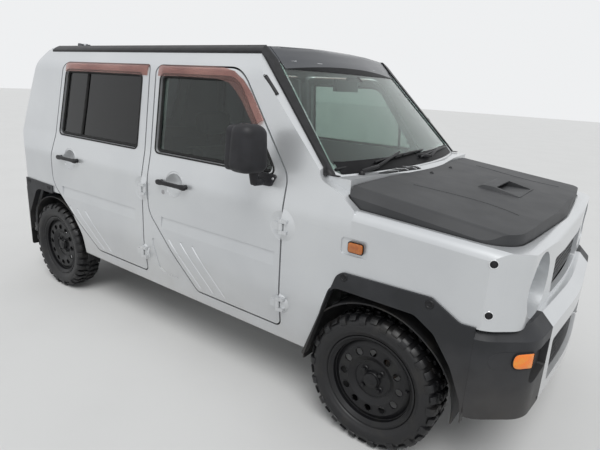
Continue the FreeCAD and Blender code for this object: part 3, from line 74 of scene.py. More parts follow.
# %% Camera
CAMERA_PLACE = Vector((1.8371, -2.2288, 1.3912))
AZIMUTH, ELEVATION, ROLL = 0.6277, 0.2806, 0.0559
FOCAL_PIXELS = 481.55
PHOTO_WIDTH, PHOTO_HEIGHT = 600, 450
SENSOR_WIDTH = 36.0

backwards = Vector((
    math.sin(AZIMUTH) * math.cos(ELEVATION),
    -math.cos(AZIMUTH) * math.cos(ELEVATION),
    math.sin(ELEVATION),
))
level_right = Vector((0, 0, 1)).cross(backwards).normalized()
level_up = backwards.cross(level_right)
right = math.cos(ROLL) * level_right + math.sin(ROLL) * level_up
up = -math.sin(ROLL) * level_right + math.cos(ROLL) * level_up
camera_data = bpy.data.cameras.new("photo_camera")
camera_data.sensor_width = SENSOR_WIDTH
camera_data.lens = FOCAL_PIXELS * SENSOR_WIDTH / PHOTO_WIDTH
camera = bpy.data.objects.new("photo_camera", camera_data)
turn = Matrix((right, up, backwards)).transposed().to_4x4()
camera.matrix_world = Matrix.Translation(CAMERA_PLACE) @ turn
bpy.context.scene.collection.objects.link(camera)
bpy.context.scene.camera = camera
print("lens", round(camera_data.lens, 1), "mm")

# %% [markdown]
# ## Floor and light
# A plain pale floor catches the soft shadow under the car. The world gives even light from all
# round, like an overcast day, and one broad sun adds a little direction. Camera, mirror and glass
# rays see a plain pale surround instead, which costs the car no extra light.

# %% Nodes with fixed numbers
def set_sockets(node, **values):
    """Puts fixed numbers on a node's own sockets. A low line stands for a space."""
    for socket, value in values.items():
        node.inputs[socket.replace("_", " ")].default_value = value
    return node


def add_node(tree, kind, **values):
    """A new node with its fixed numbers."""
    return set_sockets(tree.nodes.new(kind), **values)


print("node helpers ready")

# %% Floor and light
scene = bpy.context.scene
scene.view_settings.view_transform = "Standard"

floor_mesh = bmesh.new()
bmesh.ops.create_grid(floor_mesh, x_segments=2, y_segments=2, size=40.0)
floor_data = bpy.data.meshes.new("floor")
floor_mesh.to_mesh(floor_data)
floor_mesh.free()
floor = bpy.data.objects.new("floor", floor_data)
scene.collection.objects.link(floor)

world = bpy.data.worlds.new("studio")
scene.world = world
world.use_nodes = True
tree = world.node_tree
tree.nodes.clear()
rays = tree.nodes.new("ShaderNodeLightPath").outputs
choice = rays["Is Camera Ray"]
for kind in ("Is Glossy Ray", "Is Transmission Ray"):
    either = tree.nodes.new("ShaderNodeMath")
    either.operation = "MAXIMUM"
    tree.links.new(choice, either.inputs[0])
    tree.links.new(rays[kind], either.inputs[1])
    choice = either.outputs[0]
choose = tree.nodes.new("ShaderNodeMixShader")
tree.links.new(choice, choose.inputs["Fac"])
ambient = add_node(tree, "ShaderNodeBackground", Color=(0.95, 0.97, 1.0, 1), Strength=0.60)
backdrop = add_node(tree, "ShaderNodeBackground", Color=(0.86, 0.87, 0.88, 1), Strength=1.0)
tree.links.new(ambient.outputs[0], choose.inputs[1])
tree.links.new(backdrop.outputs[0], choose.inputs[2])
world_out = tree.nodes.new("ShaderNodeOutputWorld")
tree.links.new(choose.outputs[0], world_out.inputs["Surface"])

sun_data = bpy.data.lights.new("soft_sun", "SUN")
sun_data.energy = 1.9
sun_data.angle = math.radians(35)
sun = bpy.data.objects.new("soft_sun", sun_data)
sun.rotation_euler = [math.radians(angle) for angle in (31, 12, 16)]
scene.collection.objects.link(sun)
print("floor, world and sun are in")

# %% [markdown]
# ## Finishes
# Every finish starts from the same shader with its own fixed numbers, then gets what the real
# surface shows: a slow change of colour, a fine grain in relief, and for the low panels a veil of
# road dust that fades upwards. Patterns read object coordinates, so they stay with the metal when a
# door swings.

# %% Material helpers
DUST = (0.30, 0.26, 0.21)
DUST_FOOT = 0.12


def new_finish(name, color, roughness, metallic=0.0, **sockets):
    """A material with one shader, whose fixed numbers sit on the shader's own sockets."""
    material = bpy.data.materials.new(name)
    material.use_nodes = True
    shader = material.node_tree.nodes["Principled BSDF"]
    set_sockets(shader, Base_Color=(*color, 1), Roughness=roughness, Metallic=metallic, **sockets)
    return material


def shader_input(material, socket):
    """One input of a material's shader."""
    return material.node_tree.nodes["Principled BSDF"].inputs[socket]


def pattern(material, kind, scale, **values):
    """A texture node on object coordinates, placed through a Mapping node."""
    tree = material.node_tree
    coordinates = tree.nodes.new("ShaderNodeTexCoord")
    place = tree.nodes.new("ShaderNodeMapping")
    texture = add_node(tree, kind, Scale=scale, **values)
    tree.links.new(coordinates.outputs["Object"], place.inputs["Vector"])
    tree.links.new(place.outputs["Vector"], texture.inputs["Vector"])
    return texture


def mottle(material, other, scale, low=0.42, high=0.62, detail=5.0):
    """Lets the base colour wander towards another colour in soft patches."""
    tree = material.node_tree
    base = shader_input(material, "Base Color")
    noise = pattern(material, "ShaderNodeTexNoise", scale, Detail=detail)
    ramp = tree.nodes.new("ShaderNodeValToRGB")
    ramp.color_ramp.elements[0].position = low
    ramp.color_ramp.elements[1].position = high
    ramp.color_ramp.elements[0].color = tuple(base.default_value)
    ramp.color_ramp.elements[1].color = (*other, 1)
    tree.links.new(noise.outputs["Fac"], ramp.inputs["Fac"])
    tree.links.new(ramp.outputs["Color"], base)


def uneven_gloss(material, low, high, scale):
    """Varies the roughness a little, as handling and weather do."""
    tree = material.node_tree
    noise = pattern(material, "ShaderNodeTexNoise", scale, Detail=6.0)
    spread = add_node(tree, "ShaderNodeMapRange", To_Min=low, To_Max=high)
    tree.links.new(noise.outputs["Fac"], spread.inputs["Value"])
    tree.links.new(spread.outputs["Result"], shader_input(material, "Roughness"))


def relief(material, kind, scale, depth, strength):
    """Raises a texture from the surface by a depth in metres."""
    tree = material.node_tree
    texture = pattern(material, kind, scale)
    height = texture.outputs["Distance" if kind == "ShaderNodeTexVoronoi" else "Fac"]
    bump = add_node(tree, "ShaderNodeBump", Strength=strength, Distance=depth)
    tree.links.new(height, bump.inputs["Height"])
    tree.links.new(bump.outputs["Normal"], shader_input(material, "Normal"))


def road_dust(material, top, amount):
    """A veil over mottled paint, thickest low down, that breaks up in patches towards its top."""
    tree = material.node_tree
    coordinates = tree.nodes.new("ShaderNodeTexCoord")
    split = tree.nodes.new("ShaderNodeSeparateXYZ")
    tree.links.new(coordinates.outputs["Object"], split.inputs["Vector"])
    fade = add_node(tree, "ShaderNodeMapRange", From_Min=DUST_FOOT, From_Max=top,
                    To_Min=amount, To_Max=0.0)
    tree.links.new(split.outputs["Z"], fade.inputs["Value"])
    noise = pattern(material, "ShaderNodeTexNoise", 9.0, Detail=8.0)
    share = tree.nodes.new("ShaderNodeMath")
    share.operation = "MULTIPLY"
    tree.links.new(fade.outputs["Result"], share.inputs[0])
    tree.links.new(noise.outputs["Fac"], share.inputs[1])
    mix = add_node(tree, "ShaderNodeMixRGB", Color2=(*DUST, 1))
    base = shader_input(material, "Base Color")
    tree.links.new(base.links[0].from_socket, mix.inputs["Color1"])
    tree.links.new(share.outputs[0], mix.inputs["Fac"])
    tree.links.new(mix.outputs["Color"], base)


print("material helpers ready")

# %% [markdown]
# ### Painted metal
# The flanks wear a silver metallic lacquer: a bright, slightly rough metal coat under clear
# varnish. The roof has a dark gloss paint, and the bonnet a matte film that scatters light broadly
# and shows faint patches.

# %% Paints
silver = new_finish("silver_paint", (0.62, 0.635, 0.645), 0.30, 0.55,
                    Coat_Weight=0.6, Coat_Roughness=0.06)
mottle(silver, (0.57, 0.585, 0.60), 1.4)
uneven_gloss(silver, 0.30, 0.38, 3.0)
road_dust(silver, 0.62, 0.55)
roof_paint = new_finish("dark_roof_paint", (0.022, 0.025, 0.032), 0.30,
                        Coat_Weight=0.5, Coat_Roughness=0.12)
mottle(roof_paint, (0.030, 0.034, 0.042), 3.0)
uneven_gloss(roof_paint, 0.24, 0.40, 6.0)
bonnet_film = new_finish("matte_bonnet_film", (0.030, 0.031, 0.033), 0.56)
mottle(bonnet_film, (0.040, 0.041, 0.043), 5.0)
uneven_gloss(bonnet_film, 0.50, 0.64, 12.0)
relief(bonnet_film, "ShaderNodeTexNoise", 900.0, 0.0002, 0.25)
print("paints:", silver.name, roof_paint.name, bonnet_film.name)

# %% [markdown]
# ### Plastics and rubber
# The cladding is grained polypropylene: dark, dull and pebbled. Trim is smoother. Rubber is the
# dullest, with a brown-grey bloom from dust in every hollow.

# %% Plastics and rubber
cladding_plastic = new_finish("grained_cladding", (0.019, 0.020, 0.022), 0.46,
                              Specular_IOR_Level=0.32)
mottle(cladding_plastic, (0.027, 0.028, 0.031), 7.0)
uneven_gloss(cladding_plastic, 0.42, 0.56, 20.0)
relief(cladding_plastic, "ShaderNodeTexVoronoi", 700.0, 0.0003, 0.35)
road_dust(cladding_plastic, 0.60, 0.25)
trim_plastic = new_finish("black_trim", (0.010, 0.010, 0.011), 0.42, Specular_IOR_Level=0.3)
mottle(trim_plastic, (0.015, 0.015, 0.017), 30.0)
uneven_gloss(trim_plastic, 0.36, 0.5, 25.0)
mesh_plastic = new_finish("mesh_plastic", (0.040, 0.041, 0.043), 0.36)
mottle(mesh_plastic, (0.055, 0.056, 0.058), 30.0)
liner_plastic = new_finish("wheel_house_lining", (0.012, 0.012, 0.013), 0.75)
mottle(liner_plastic, (0.05, 0.045, 0.038), 12.0, 0.5, 0.8)
rubber = new_finish("tyre_rubber", (0.008, 0.008, 0.009), 0.46, Specular_IOR_Level=0.45)
mottle(rubber, (0.020, 0.018, 0.016), 14.0, 0.52, 0.8)
relief(rubber, "ShaderNodeTexNoise", 1200.0, 0.0003, 0.4)
seal_rubber = new_finish("seal_rubber", (0.008, 0.008, 0.008), 0.6, Specular_IOR_Level=0.3)
mottle(seal_rubber, (0.013, 0.013, 0.013), 40.0)
wheel_paint = new_finish("black_wheel_paint", (0.007, 0.007, 0.008), 0.32, Specular_IOR_Level=0.35)
mottle(wheel_paint, (0.014, 0.014, 0.013), 18.0, 0.5, 0.8)
uneven_gloss(wheel_paint, 0.28, 0.46, 30.0)
print("plastics and rubber ready")

# %% [markdown]
# ### Glass and lamps
# The windscreen is nearly clear with a green cast, the glass of the front doors is a little darker,
# and the rear glass is dyed grey. All are thin closed solids, so the shader's transmission gives
# them their depth. Amber and red lenses carry a fine ribbing in relief.

# %% Glass and lamps
GLASSES = {
    "clear_glass": ((0.62, 0.76, 0.70), 0.02, (0.58, 0.72, 0.66), 2.0),
    "door_glass": ((0.30, 0.36, 0.33), 0.02, (0.27, 0.33, 0.30), 2.0),
    "dyed_glass": ((0.030, 0.032, 0.036), 0.03, (0.024, 0.026, 0.030), 2.0),
    "lamp_glass": ((0.90, 0.93, 0.95), 0.03, (0.84, 0.88, 0.90), 5.0),
}
glasses = {}
for name, (color, roughness, other, scale) in GLASSES.items():
    glasses[name] = new_finish(name, color, roughness, Transmission_Weight=1.0, IOR=1.45)
    mottle(glasses[name], other, scale)
amber_lens = new_finish("amber_lens", (0.86, 0.20, 0.01), 0.22,
                        Coat_Weight=0.6, Coat_Roughness=0.05)
mottle(amber_lens, (0.80, 0.27, 0.02), 40.0)
relief(amber_lens, "ShaderNodeTexWave", 90.0, 0.0008, 0.5)
red_lens = new_finish("red_lens", (0.42, 0.012, 0.010), 0.2, Coat_Weight=0.7, Coat_Roughness=0.05)
mottle(red_lens, (0.30, 0.008, 0.008), 30.0)
relief(red_lens, "ShaderNodeTexWave", 70.0, 0.0008, 0.5)
mirror_metal = new_finish("bright_reflector", (0.88, 0.89, 0.90), 0.08, 1.0)
uneven_gloss(mirror_metal, 0.05, 0.12, 40.0)
print("glass and lamps ready")

# %% [markdown]
# ### Under and inside
# Cast and welded parts below are painted black once and rusty since. Inside, hard plastic has a
# leather-like grain and the seats are covered in woven cloth.

# %% Under and inside
chassis_iron = new_finish("chassis_iron", (0.035, 0.033, 0.031), 0.7, 0.3)
mottle(chassis_iron, (0.16, 0.075, 0.035), 16.0, 0.52, 0.78, 9.0)
relief(chassis_iron, "ShaderNodeTexNoise", 160.0, 0.0008, 0.4)
exhaust_steel = new_finish("exhaust_steel", (0.22, 0.20, 0.18), 0.5, 0.8)
mottle(exhaust_steel, (0.15, 0.10, 0.06), 10.0)
dash_plastic = new_finish("dash_plastic", (0.035, 0.035, 0.038), 0.6)
mottle(dash_plastic, (0.045, 0.045, 0.048), 12.0)
relief(dash_plastic, "ShaderNodeTexVoronoi", 420.0, 0.0004, 0.4)
seat_cloth = new_finish("seat_cloth", (0.055, 0.056, 0.060), 0.85, Sheen_Weight=0.35)
mottle(seat_cloth, (0.085, 0.086, 0.092), 60.0)
relief(seat_cloth, "ShaderNodeTexChecker", 700.0, 0.0004, 0.4)
print("under and inside ready")

# %% [markdown]
# ## Dressing the CAD bodies
# A body whose CAD shape is right keeps it and only changes its material slot. The table names one
# finish for every node, so that none is left grey.

# %% Finishes for the CAD nodes
GROUPS = (
    (silver, "body_shell front_wings front_panel bumper_centre rear_bumper tailgate"),
    (roof_paint, "roof_panel"),
    (bonnet_film, "bonnet"),
    (cladding_plastic, "front_cladding rear_cladding indicators"),
    (trim_plastic, "roof_strips tailgate_handle grille interior_mirror wipers"),
    (glasses["clear_glass"], "windscreen"),
    (glasses["dyed_glass"], "tailgate_glass"),
    (glasses["lamp_glass"], "headlamps"),
    (red_lens, "tail_lamps"),
    (liner_plastic, "wheel_liners"),
    (chassis_iron, "knuckle_left knuckle_right front_subframe rear_axle engine_block fuel_tank"),
    (exhaust_steel, "exhaust"),
    (dash_plastic, "dashboard steering_wheel seat_frames"),
    (seat_cloth, "front_seat_left front_seat_right rear_seat"),
)
node_finish = {name: finish for finish, names in GROUPS for name in names.split()}
for place, end, _ in PLACES:
    node_finish["door_" + place] = silver
    node_finish["door_glass_" + place] = glasses["door_glass" if end == "front" else "dyed_glass"]
    node_finish["door_fittings_" + place] = trim_plastic
    node_finish["rim_" + place] = wheel_paint
    node_finish["tyre_" + place] = rubber
for name, finish in node_finish.items():
    slots = nodes[name].data.materials
    slots.clear()
    slots.append(finish)
print("nodes without a finish:", sorted(set(nodes) - set(node_finish)))

concrete = new_finish("pale_floor", (0.62, 0.62, 0.61), 0.8)
mottle(concrete, (0.608, 0.608, 0.598), 1.5)
floor.data.materials.append(concrete)

# %% [markdown]
# ## Tools for new pieces
# A piece starts as a bmesh, the editor's own mesh in code. The helpers below add one shape each to
# a bmesh: a block, a round bar, a turned shape or a flat outline with thickness. Each works on what
# it has just added, so that one bmesh can gather many small parts and become a single piece. A
# sheet is rows of points, bridged.

# %% Shapes for a bmesh
def merged(shape, reach=0.00002):
    """Merges doubles and turns all faces outwards."""
    bmesh.ops.remove_doubles(shape, verts=shape.verts[:], dist=reach)
    bmesh.ops.recalc_face_normals(shape, faces=shape.faces[:])
    return shape


def bevel_edges(shape, edges, width, steps=2):
    """A round bevel along some edges."""
    bmesh.ops.bevel(
        shape, geom=edges, offset=width, offset_type="OFFSET", affect="EDGES", segments=steps,
        profile=0.5, material=-1, clamp_overlap=True,
    )


def soften(shape, verts, width, steps=2):
    """Bevels the edges of the shape that a few vertices span."""
    bevel_edges(shape, list({edge for vert in verts for edge in vert.link_edges}), width, steps)


def add_block(shape, low, high, place=Matrix()):
    """A box between two corners, moved by a matrix; its vertices are given back."""
    verts = bmesh.ops.create_cube(shape, size=1.0)["verts"]
    size = [b - a for a, b in zip(low, high)]
    middle = [(a + b) / 2 for a, b in zip(low, high)]
    matrix = place @ (Matrix.Translation(middle) @ Matrix.Diagonal((*size, 1)))
    bmesh.ops.transform(shape, matrix=matrix, verts=verts)
    return verts


def add_rod(shape, start, end, radius, end_radius=None, sides=20, bevel=0.0):
    """A round bar between two points."""
    start, end = Vector(start), Vector(end)
    along = end - start
    made = bmesh.ops.create_cone(
        shape, cap_ends=True, segments=sides, radius1=radius,
        radius2=radius if end_radius is None else end_radius, depth=along.length,
    )["verts"]
    turn = along.to_track_quat("Z", "Y").to_matrix().to_4x4()
    bmesh.ops.transform(shape, matrix=Matrix.Translation((start + end) / 2) @ turn, verts=made)
    if bevel:
        caps = {edge for vert in made for edge in vert.link_edges if len(edge.link_faces) == 2
                and any(len(face.verts) == sides for face in edge.link_faces)}
        bevel_edges(shape, list(caps), bevel)


def add_turned(shape, rows, steps=48, place=Matrix(), closed=True):
    """Turns (radius, height) rows about the Z axis, then moves the result by a matrix."""
    verts = [shape.verts.new((radius, 0, height)) for radius, height in rows]
    edges = [shape.edges.new(pair) for pair in zip(verts, verts[1:])]
    if closed:
        edges.append(shape.edges.new((verts[-1], verts[0])))
    before = set(shape.verts) - set(verts)
    bmesh.ops.spin(
        shape, geom=verts + edges, cent=(0, 0, 0), axis=(0, 0, 1), angle=math.tau, steps=steps,
        use_merge=True, use_duplicate=False,
    )
    made = [vert for vert in shape.verts if vert not in before]
    bmesh.ops.remove_doubles(shape, verts=made, dist=0.00001)
    made = [vert for vert in shape.verts if vert not in before]
    bmesh.ops.transform(shape, matrix=place, verts=made)


def add_prism(shape, outline, push, bevel=0.0, steps=2):
    """A flat outline of points, given thickness by pushing it along a vector."""
    face = shape.faces.new([shape.verts.new(point) for point in outline])
    rim = list(face.verts)
    pushed = bmesh.ops.extrude_face_region(shape, geom=[face])["geom"]
    moved = [item for item in pushed if isinstance(item, bmesh.types.BMVert)]
    bmesh.ops.translate(shape, vec=push, verts=moved)
    if bevel:
        soften(shape, rim + moved, bevel, steps)


def sheet(lines, thickness):
    """A bmesh of rows of points, bridged into a surface and given a wall."""
    shape = bmesh.new()
    rails = []
    for line in lines:
        verts = [shape.verts.new(point) for point in line]
        rails.append([shape.edges.new(pair) for pair in zip(verts, verts[1:])])
    for first, second in zip(rails, rails[1:]):
        bmesh.ops.bridge_loops(shape, edges=first + second)
    bmesh.ops.recalc_face_normals(shape, faces=shape.faces[:])
    bmesh.ops.solidify(shape, geom=shape.faces[:], thickness=thickness)
    return shape


def rounded(corners, steps=5):
    """Points round an outline of (a, b, radius) corners, with each corner cut by a smooth bend."""
    points = []
    for i, (a, b, radius) in enumerate(corners):
        corner = Vector((a, b))
        before = Vector(corners[i - 1][:2]) - corner
        after = Vector(corners[(i + 1) % len(corners)][:2]) - corner
        reach = radius / math.tan(before.angle(after) / 2)
        first = corner + before.normalized() * reach
        last = corner + after.normalized() * reach
        for k in range(steps + 1):
            t = k / steps
            points.append((1 - t) ** 2 * first + 2 * t * (1 - t) * corner + t * t * last)
    return points


def rounded_box(low, high, radius, steps=5):
    """Points round a rectangle between two (a, b) corners, with its own corners cut."""
    (a, b), (c, d) = low, high
    return rounded([(a, b, radius), (c, b, radius), (c, d, radius), (a, d, radius)], steps)


def finished(name, shape, finish, body, sharp=35):
    """Makes a bmesh an object that rides on a body."""
    merged(shape)
    mesh = bpy.data.meshes.new(name)
    shape.to_mesh(mesh)
    shape.free()
    mesh.materials.append(finish)
    mesh.shade_smooth()
    mesh.set_sharp_from_angle(angle=math.radians(sharp))
    made = bpy.data.objects.new(name, mesh)
    scene.collection.objects.link(made)
    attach(made, body)
    return made


print("shape tools ready")

# %% [markdown]
# Small parts must sit on curved panels. A ray is cast at the CAD bodies from outside, and the part
# goes where it lands. Beads and seals are lines of points swept round by a bevelled curve, which is
# then read as a mesh. Outlines are written in millimetres, as on a drawing, and turned to metres.

# %% Landing on the bodies, and beads along a line
def skin_of(*names):
    """A tree for casting rays at the meshes of some nodes."""
    shape = bmesh.new()
    for name in names:
        shape.from_mesh(nodes[name].data)
    tree = BVHTree.FromBMesh(shape)
    shape.free()
    return tree


def landing(tree, start, way):
    """Where a ray first meets the bodies, and the direction that the surface faces there."""
    place, normal, _, _ = tree.ray_cast(Vector(start), Vector(way))
    if place is None:
        place, normal, _, _ = tree.find_nearest(Vector(start) + 0.6 * Vector(way))
    if normal.dot(Vector(way)) > 0:
        normal = -normal
    return place, normal


def onto_flank(tree, x, z, s):
    """The landing of a level ray from outside one flank."""
    return landing(tree, (x, s * 1.3, z), (0, -s, 0))


def from_above(tree, x, y):
    """The landing of a ray that comes straight down."""
    return landing(tree, (x, y, 1.5), (0, 0, -1))


def from_behind(tree, y, z):
    """The landing of a level ray from behind the car."""
    return landing(tree, (-2.2, y, z), (1, 0, 0))


def facing(place, normal):
    """A matrix whose Z axis stands out of the surface at a place."""
    return Matrix.Translation(place) @ normal.to_track_quat("Z", "Y").to_matrix().to_4x4()


def add_bead(shape, points, radius, closed=False, sides=2):
    """A bead swept along a line of points."""
    curve = bpy.data.curves.new("bead", "CURVE")
    curve.dimensions = "3D"
    curve.bevel_depth = radius
    curve.bevel_resolution = sides
    curve.use_fill_caps = True
    line = curve.splines.new("POLY")
    line.points.add(len(points) - 1)
    for point, place in zip(line.points, points):
        point.co = (*place, 1)
    line.use_cyclic_u = closed
    holder = bpy.data.objects.new("bead", curve)
    mesh = bpy.data.meshes.new_from_object(holder)
    shape.from_mesh(mesh)
    bpy.data.objects.remove(holder)
    bpy.data.curves.remove(curve)
    bpy.data.meshes.remove(mesh)


def mm(*corners):
    """Corners in millimetres, turned to metres."""
    return [tuple(value / 1000 for value in corner) for corner in corners]


PANELS = ("body_shell", "front_wings", "front_panel", "front_cladding", "rear_cladding")
flank_skin = {
    s: skin_of(*PANELS, "door_front_" + flank, "door_rear_" + flank) for flank, s in SIDES
}
print("beads and landings ready")

# %% [markdown]
# ## Tyres
# A mud tyre is a smooth carcass with rubber blocks moulded on. The carcass is a section turned
# about the axle. One shoulder block and one centre block are drawn as flat outlines, given
# thickness and softened, and then copied round the tyre in steps. The two sides are half a step
# apart, as on the real tread.

# %% One tyre about the Z axis
LUG_COUNT = 36
LUG_HALF = 0.0145
TREAD_FOOT = 0.262
CENTRE_RISE = 0.0172
CARCASS = mm(
    (181, -47), (193.6, -54.5), (197, -60), (202, -65), (207, -66.5), (209, -69), (222, -75),
    (238, -76.5), (250, -75), (258, -70), (264, -61), (268, -45), (270, -20), (270, 20), (268, 45),
    (264, 61), (258, 70), (250, 75), (238, 76.5), (222, 75), (209, 69), (207, 66.5), (202, 65),
    (197, 60), (193.6, 54.5), (181, 47),
)
SHOULDER_BLOCK = mm(
    (262, 34), (279, 35), (279.5, 58), (277, 66), (270, 74), (260, 79), (249, 79.5), (245, 75),
    (256, 66),
)
GROOVED_BLOCK = mm(
    (262, 34), (279, 35), (279.5, 55), (276, 62), (268, 71), (262, 76), (262, 70), (258, 62),
)
CENTRE_BLOCK = mm((-13, 3), (3, 5), (13, 29), (6, 32), (-9, 28), (-14, 14))


def tyre_shape():
    """Carcass and tread about the Z axis, outer side up."""
    shape = bmesh.new()
    add_turned(shape, CARCASS, steps=72)
    step = math.tau / LUG_COUNT
    for side_sign in (1, -1):
        for i in range(LUG_COUNT):
            turn = Matrix.Rotation(step * (i + (0.5 if side_sign < 0 else 0)), 4, "Z")
            rows = SHOULDER_BLOCK if i % 2 == 0 else GROOVED_BLOCK
            outline = [turn @ Vector((r, -LUG_HALF, side_sign * h)) for r, h in rows]
            add_prism(shape, outline, turn @ Vector((0, 2 * LUG_HALF, 0)), 0.0016)
            block = [turn @ Vector((TREAD_FOOT, a, side_sign * h)) for a, h in CENTRE_BLOCK]
            add_prism(shape, block, turn @ Vector((CENTRE_RISE, 0, 0)), 0.0012)
    return shape


def at_wheel(shape, x, s):
    """Turns a shape from the Z axis to a wheel's axle, outer side out."""
    lay = Matrix(((1, 0, 0, 0), (0, 0, 1, 0), (0, 1, 0, 0), (0, 0, 0, 1)))
    out = Matrix.Diagonal((1, s, 1, 1))
    place = Matrix.Translation((x, s * WHEEL_Y, AXLE_Z)) @ out @ lay
    bmesh.ops.transform(shape, matrix=place, verts=shape.verts[:])
    return shape


def kept(shape):
    """Stores a bmesh as a mesh, to be copied into other shapes."""
    mesh = bpy.data.meshes.new("kept")
    shape.to_mesh(mesh)
    shape.free()
    return mesh


def copy_of(mesh):
    """A new bmesh with the shape of a stored mesh."""
    shape = bmesh.new()
    shape.from_mesh(mesh)
    return shape


tyre_mesh = kept(tyre_shape())
for place, end, s in PLACES:
    shape = at_wheel(copy_of(tyre_mesh), AXLE_X[end], s)
    tyre = finished("tread_" + place, shape, rubber, "wheel_%s_body" % place)
    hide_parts("tyre_" + place)
print("triangles in one tyre:", sum(len(face.vertices) - 2 for face in tyre.data.polygons))

# %% [markdown]
# ## Wheels
# The CAD rim keeps its pressed disc. A rolled lip round each of the twelve holes, a dished cap with
# its ring, four nuts and the valve are added, because their round edges catch the light.

# %% Lips, cap, nuts and valve
HOLES, HOLE_CIRCLE = 12, 0.123
NUTS, NUT_CIRCLE = 4, 0.050
HOLE_LIP = (0.0165, 0.0432, 0.0018)
RINGS = ((0.1915, 0.0585, 0.0022, 72), (0.170, 0.0305, 0.0025, 72), (0.078, 0.0275, 0.0030, 48))
CAP = mm((0.0, 50), (12, 49.5), (20, 47.5), (23, 46), (27, 46.5), (30, 45), (32, 40), (33, 30),
         (0.0, 30))
NUT_SEAT = mm((0.0, 24), (14, 24), (14, 28), (11, 31), (0.0, 31))
NUT = mm((0.0, 30), (9.5, 30), (9.5, 40), (7.5, 43), (0.0, 43.5))


def ring_rows(radius, height, thick, sides=8):
    """The rows of a small round lip."""
    angles = [k * math.tau / sides for k in range(sides)]
    return [(radius + thick * math.cos(a), height + thick * math.sin(a)) for a in angles]


def on_circle(radius, angle):
    """A matrix that moves a shape out to a circle about the Z axis."""
    return Matrix.Translation((radius * math.cos(angle), radius * math.sin(angle), 0))


def wheel_trim():
    """What stands on one rim, about the Z axis."""
    shape = bmesh.new()
    for i in range(HOLES):
        add_turned(shape, ring_rows(*HOLE_LIP), 20, on_circle(HOLE_CIRCLE, math.tau * i / HOLES))
    for radius, height, thick, steps in RINGS:
        add_turned(shape, ring_rows(radius, height, thick), steps)
    add_turned(shape, CAP, 40, closed=False)
    for i in range(NUTS):
        place = on_circle(NUT_CIRCLE, math.tau * (i + 0.5) / NUTS)
        add_turned(shape, NUT_SEAT, 20, place, closed=False)
        add_turned(shape, NUT, 6, place, closed=False)
    add_rod(shape, (0.158, 0.02, 0.030), (0.155, 0.02, 0.050), 0.0042, sides=10, bevel=0.001)
    return shape


trim_mesh = kept(wheel_trim())
for place, end, s in PLACES:
    shape = at_wheel(copy_of(trim_mesh), AXLE_X[end], s)
    finished("wheel_trim_" + place, shape, wheel_paint, "wheel_%s_body" % place)
print("four wheels trimmed")

# %% [markdown]
# ## Nose
# Both openings of the nose are filled with a six-sided mesh. One cell is a six-sided ring with a
# few faces, and it is repeated in staggered rows over the opening, inside a frame. The round lamps
# sit at the back of their silver tunnels: a bowl turned from a curve, a bulb cap, a rim and a domed
# lens.

# %% Hexagon mesh and frames
CELL = 0.0235
ROW = CELL * math.sqrt(3) / 2
STRUT = 0.0028
MESH_DEPTH = 0.010
FRAME_WIDTH, FRAME_STEPS = 0.012, 12
MOUTH_X = 1.589
MOUTH = ((0.300, 0.700), (0.312, 0.828))
INTAKE_X, INTAKE_BOW = 1.664, 5.2
INTAKE = ((0.376, 0.386), (0.402, 0.552))


def add_cell(shape, x, y, z):
    """One six-sided ring, standing across the X axis."""
    turn = Matrix.Translation((x, y, z)) @ Matrix.Rotation(math.radians(90), 4, "Y")
    outer = CELL / math.sqrt(3)
    inner = outer - STRUT
    rows = [(outer, 0.0), (outer, MESH_DEPTH), (inner, MESH_DEPTH), (inner, 0.0)]
    add_turned(shape, rows, 6, turn)


def filled_opening(outline, x_of):
    """Cells whose centres lie inside two (half width, height) corners, and a frame round them."""
    shape = bmesh.new()
    (low_half, low_z), (high_half, high_z) = outline
    for row in range(int((high_z - low_z) / ROW) + 1):
        z = low_z + row * ROW
        half = low_half + (z - low_z) / (high_z - low_z) * (high_half - low_half)
        count = int(half / CELL)
        for i in range(-count - 1, count + 2):
            y = (i + 0.5 * (row % 2)) * CELL
            if abs(y) <= half:
                add_cell(shape, x_of(y), y, z)
    edge = FRAME_WIDTH / 2
    for z, half in ((low_z - edge, low_half), (high_z + edge, high_half)):
        across = [-half + 2 * half * k / FRAME_STEPS for k in range(FRAME_STEPS + 1)]
        add_bead(shape, [(x_of(y) + MESH_DEPTH / 2, y, z) for y in across], edge)
    for s in (-1, 1):
        ends = [(x_of(half) + MESH_DEPTH / 2, s * (half + edge), z) for half, z in outline]
        add_bead(shape, ends, edge)
    return shape


nose_mesh = filled_opening(MOUTH, lambda y: MOUTH_X)
nose_mesh.from_mesh(kept(filled_opening(INTAKE, lambda y: INTAKE_X - y * y / INTAKE_BOW)))
grille = finished("nose_mesh", nose_mesh, mesh_plastic, "body")
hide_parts("grille")
print("triangles in the mesh:", sum(len(face.vertices) - 2 for face in grille.data.polygons))

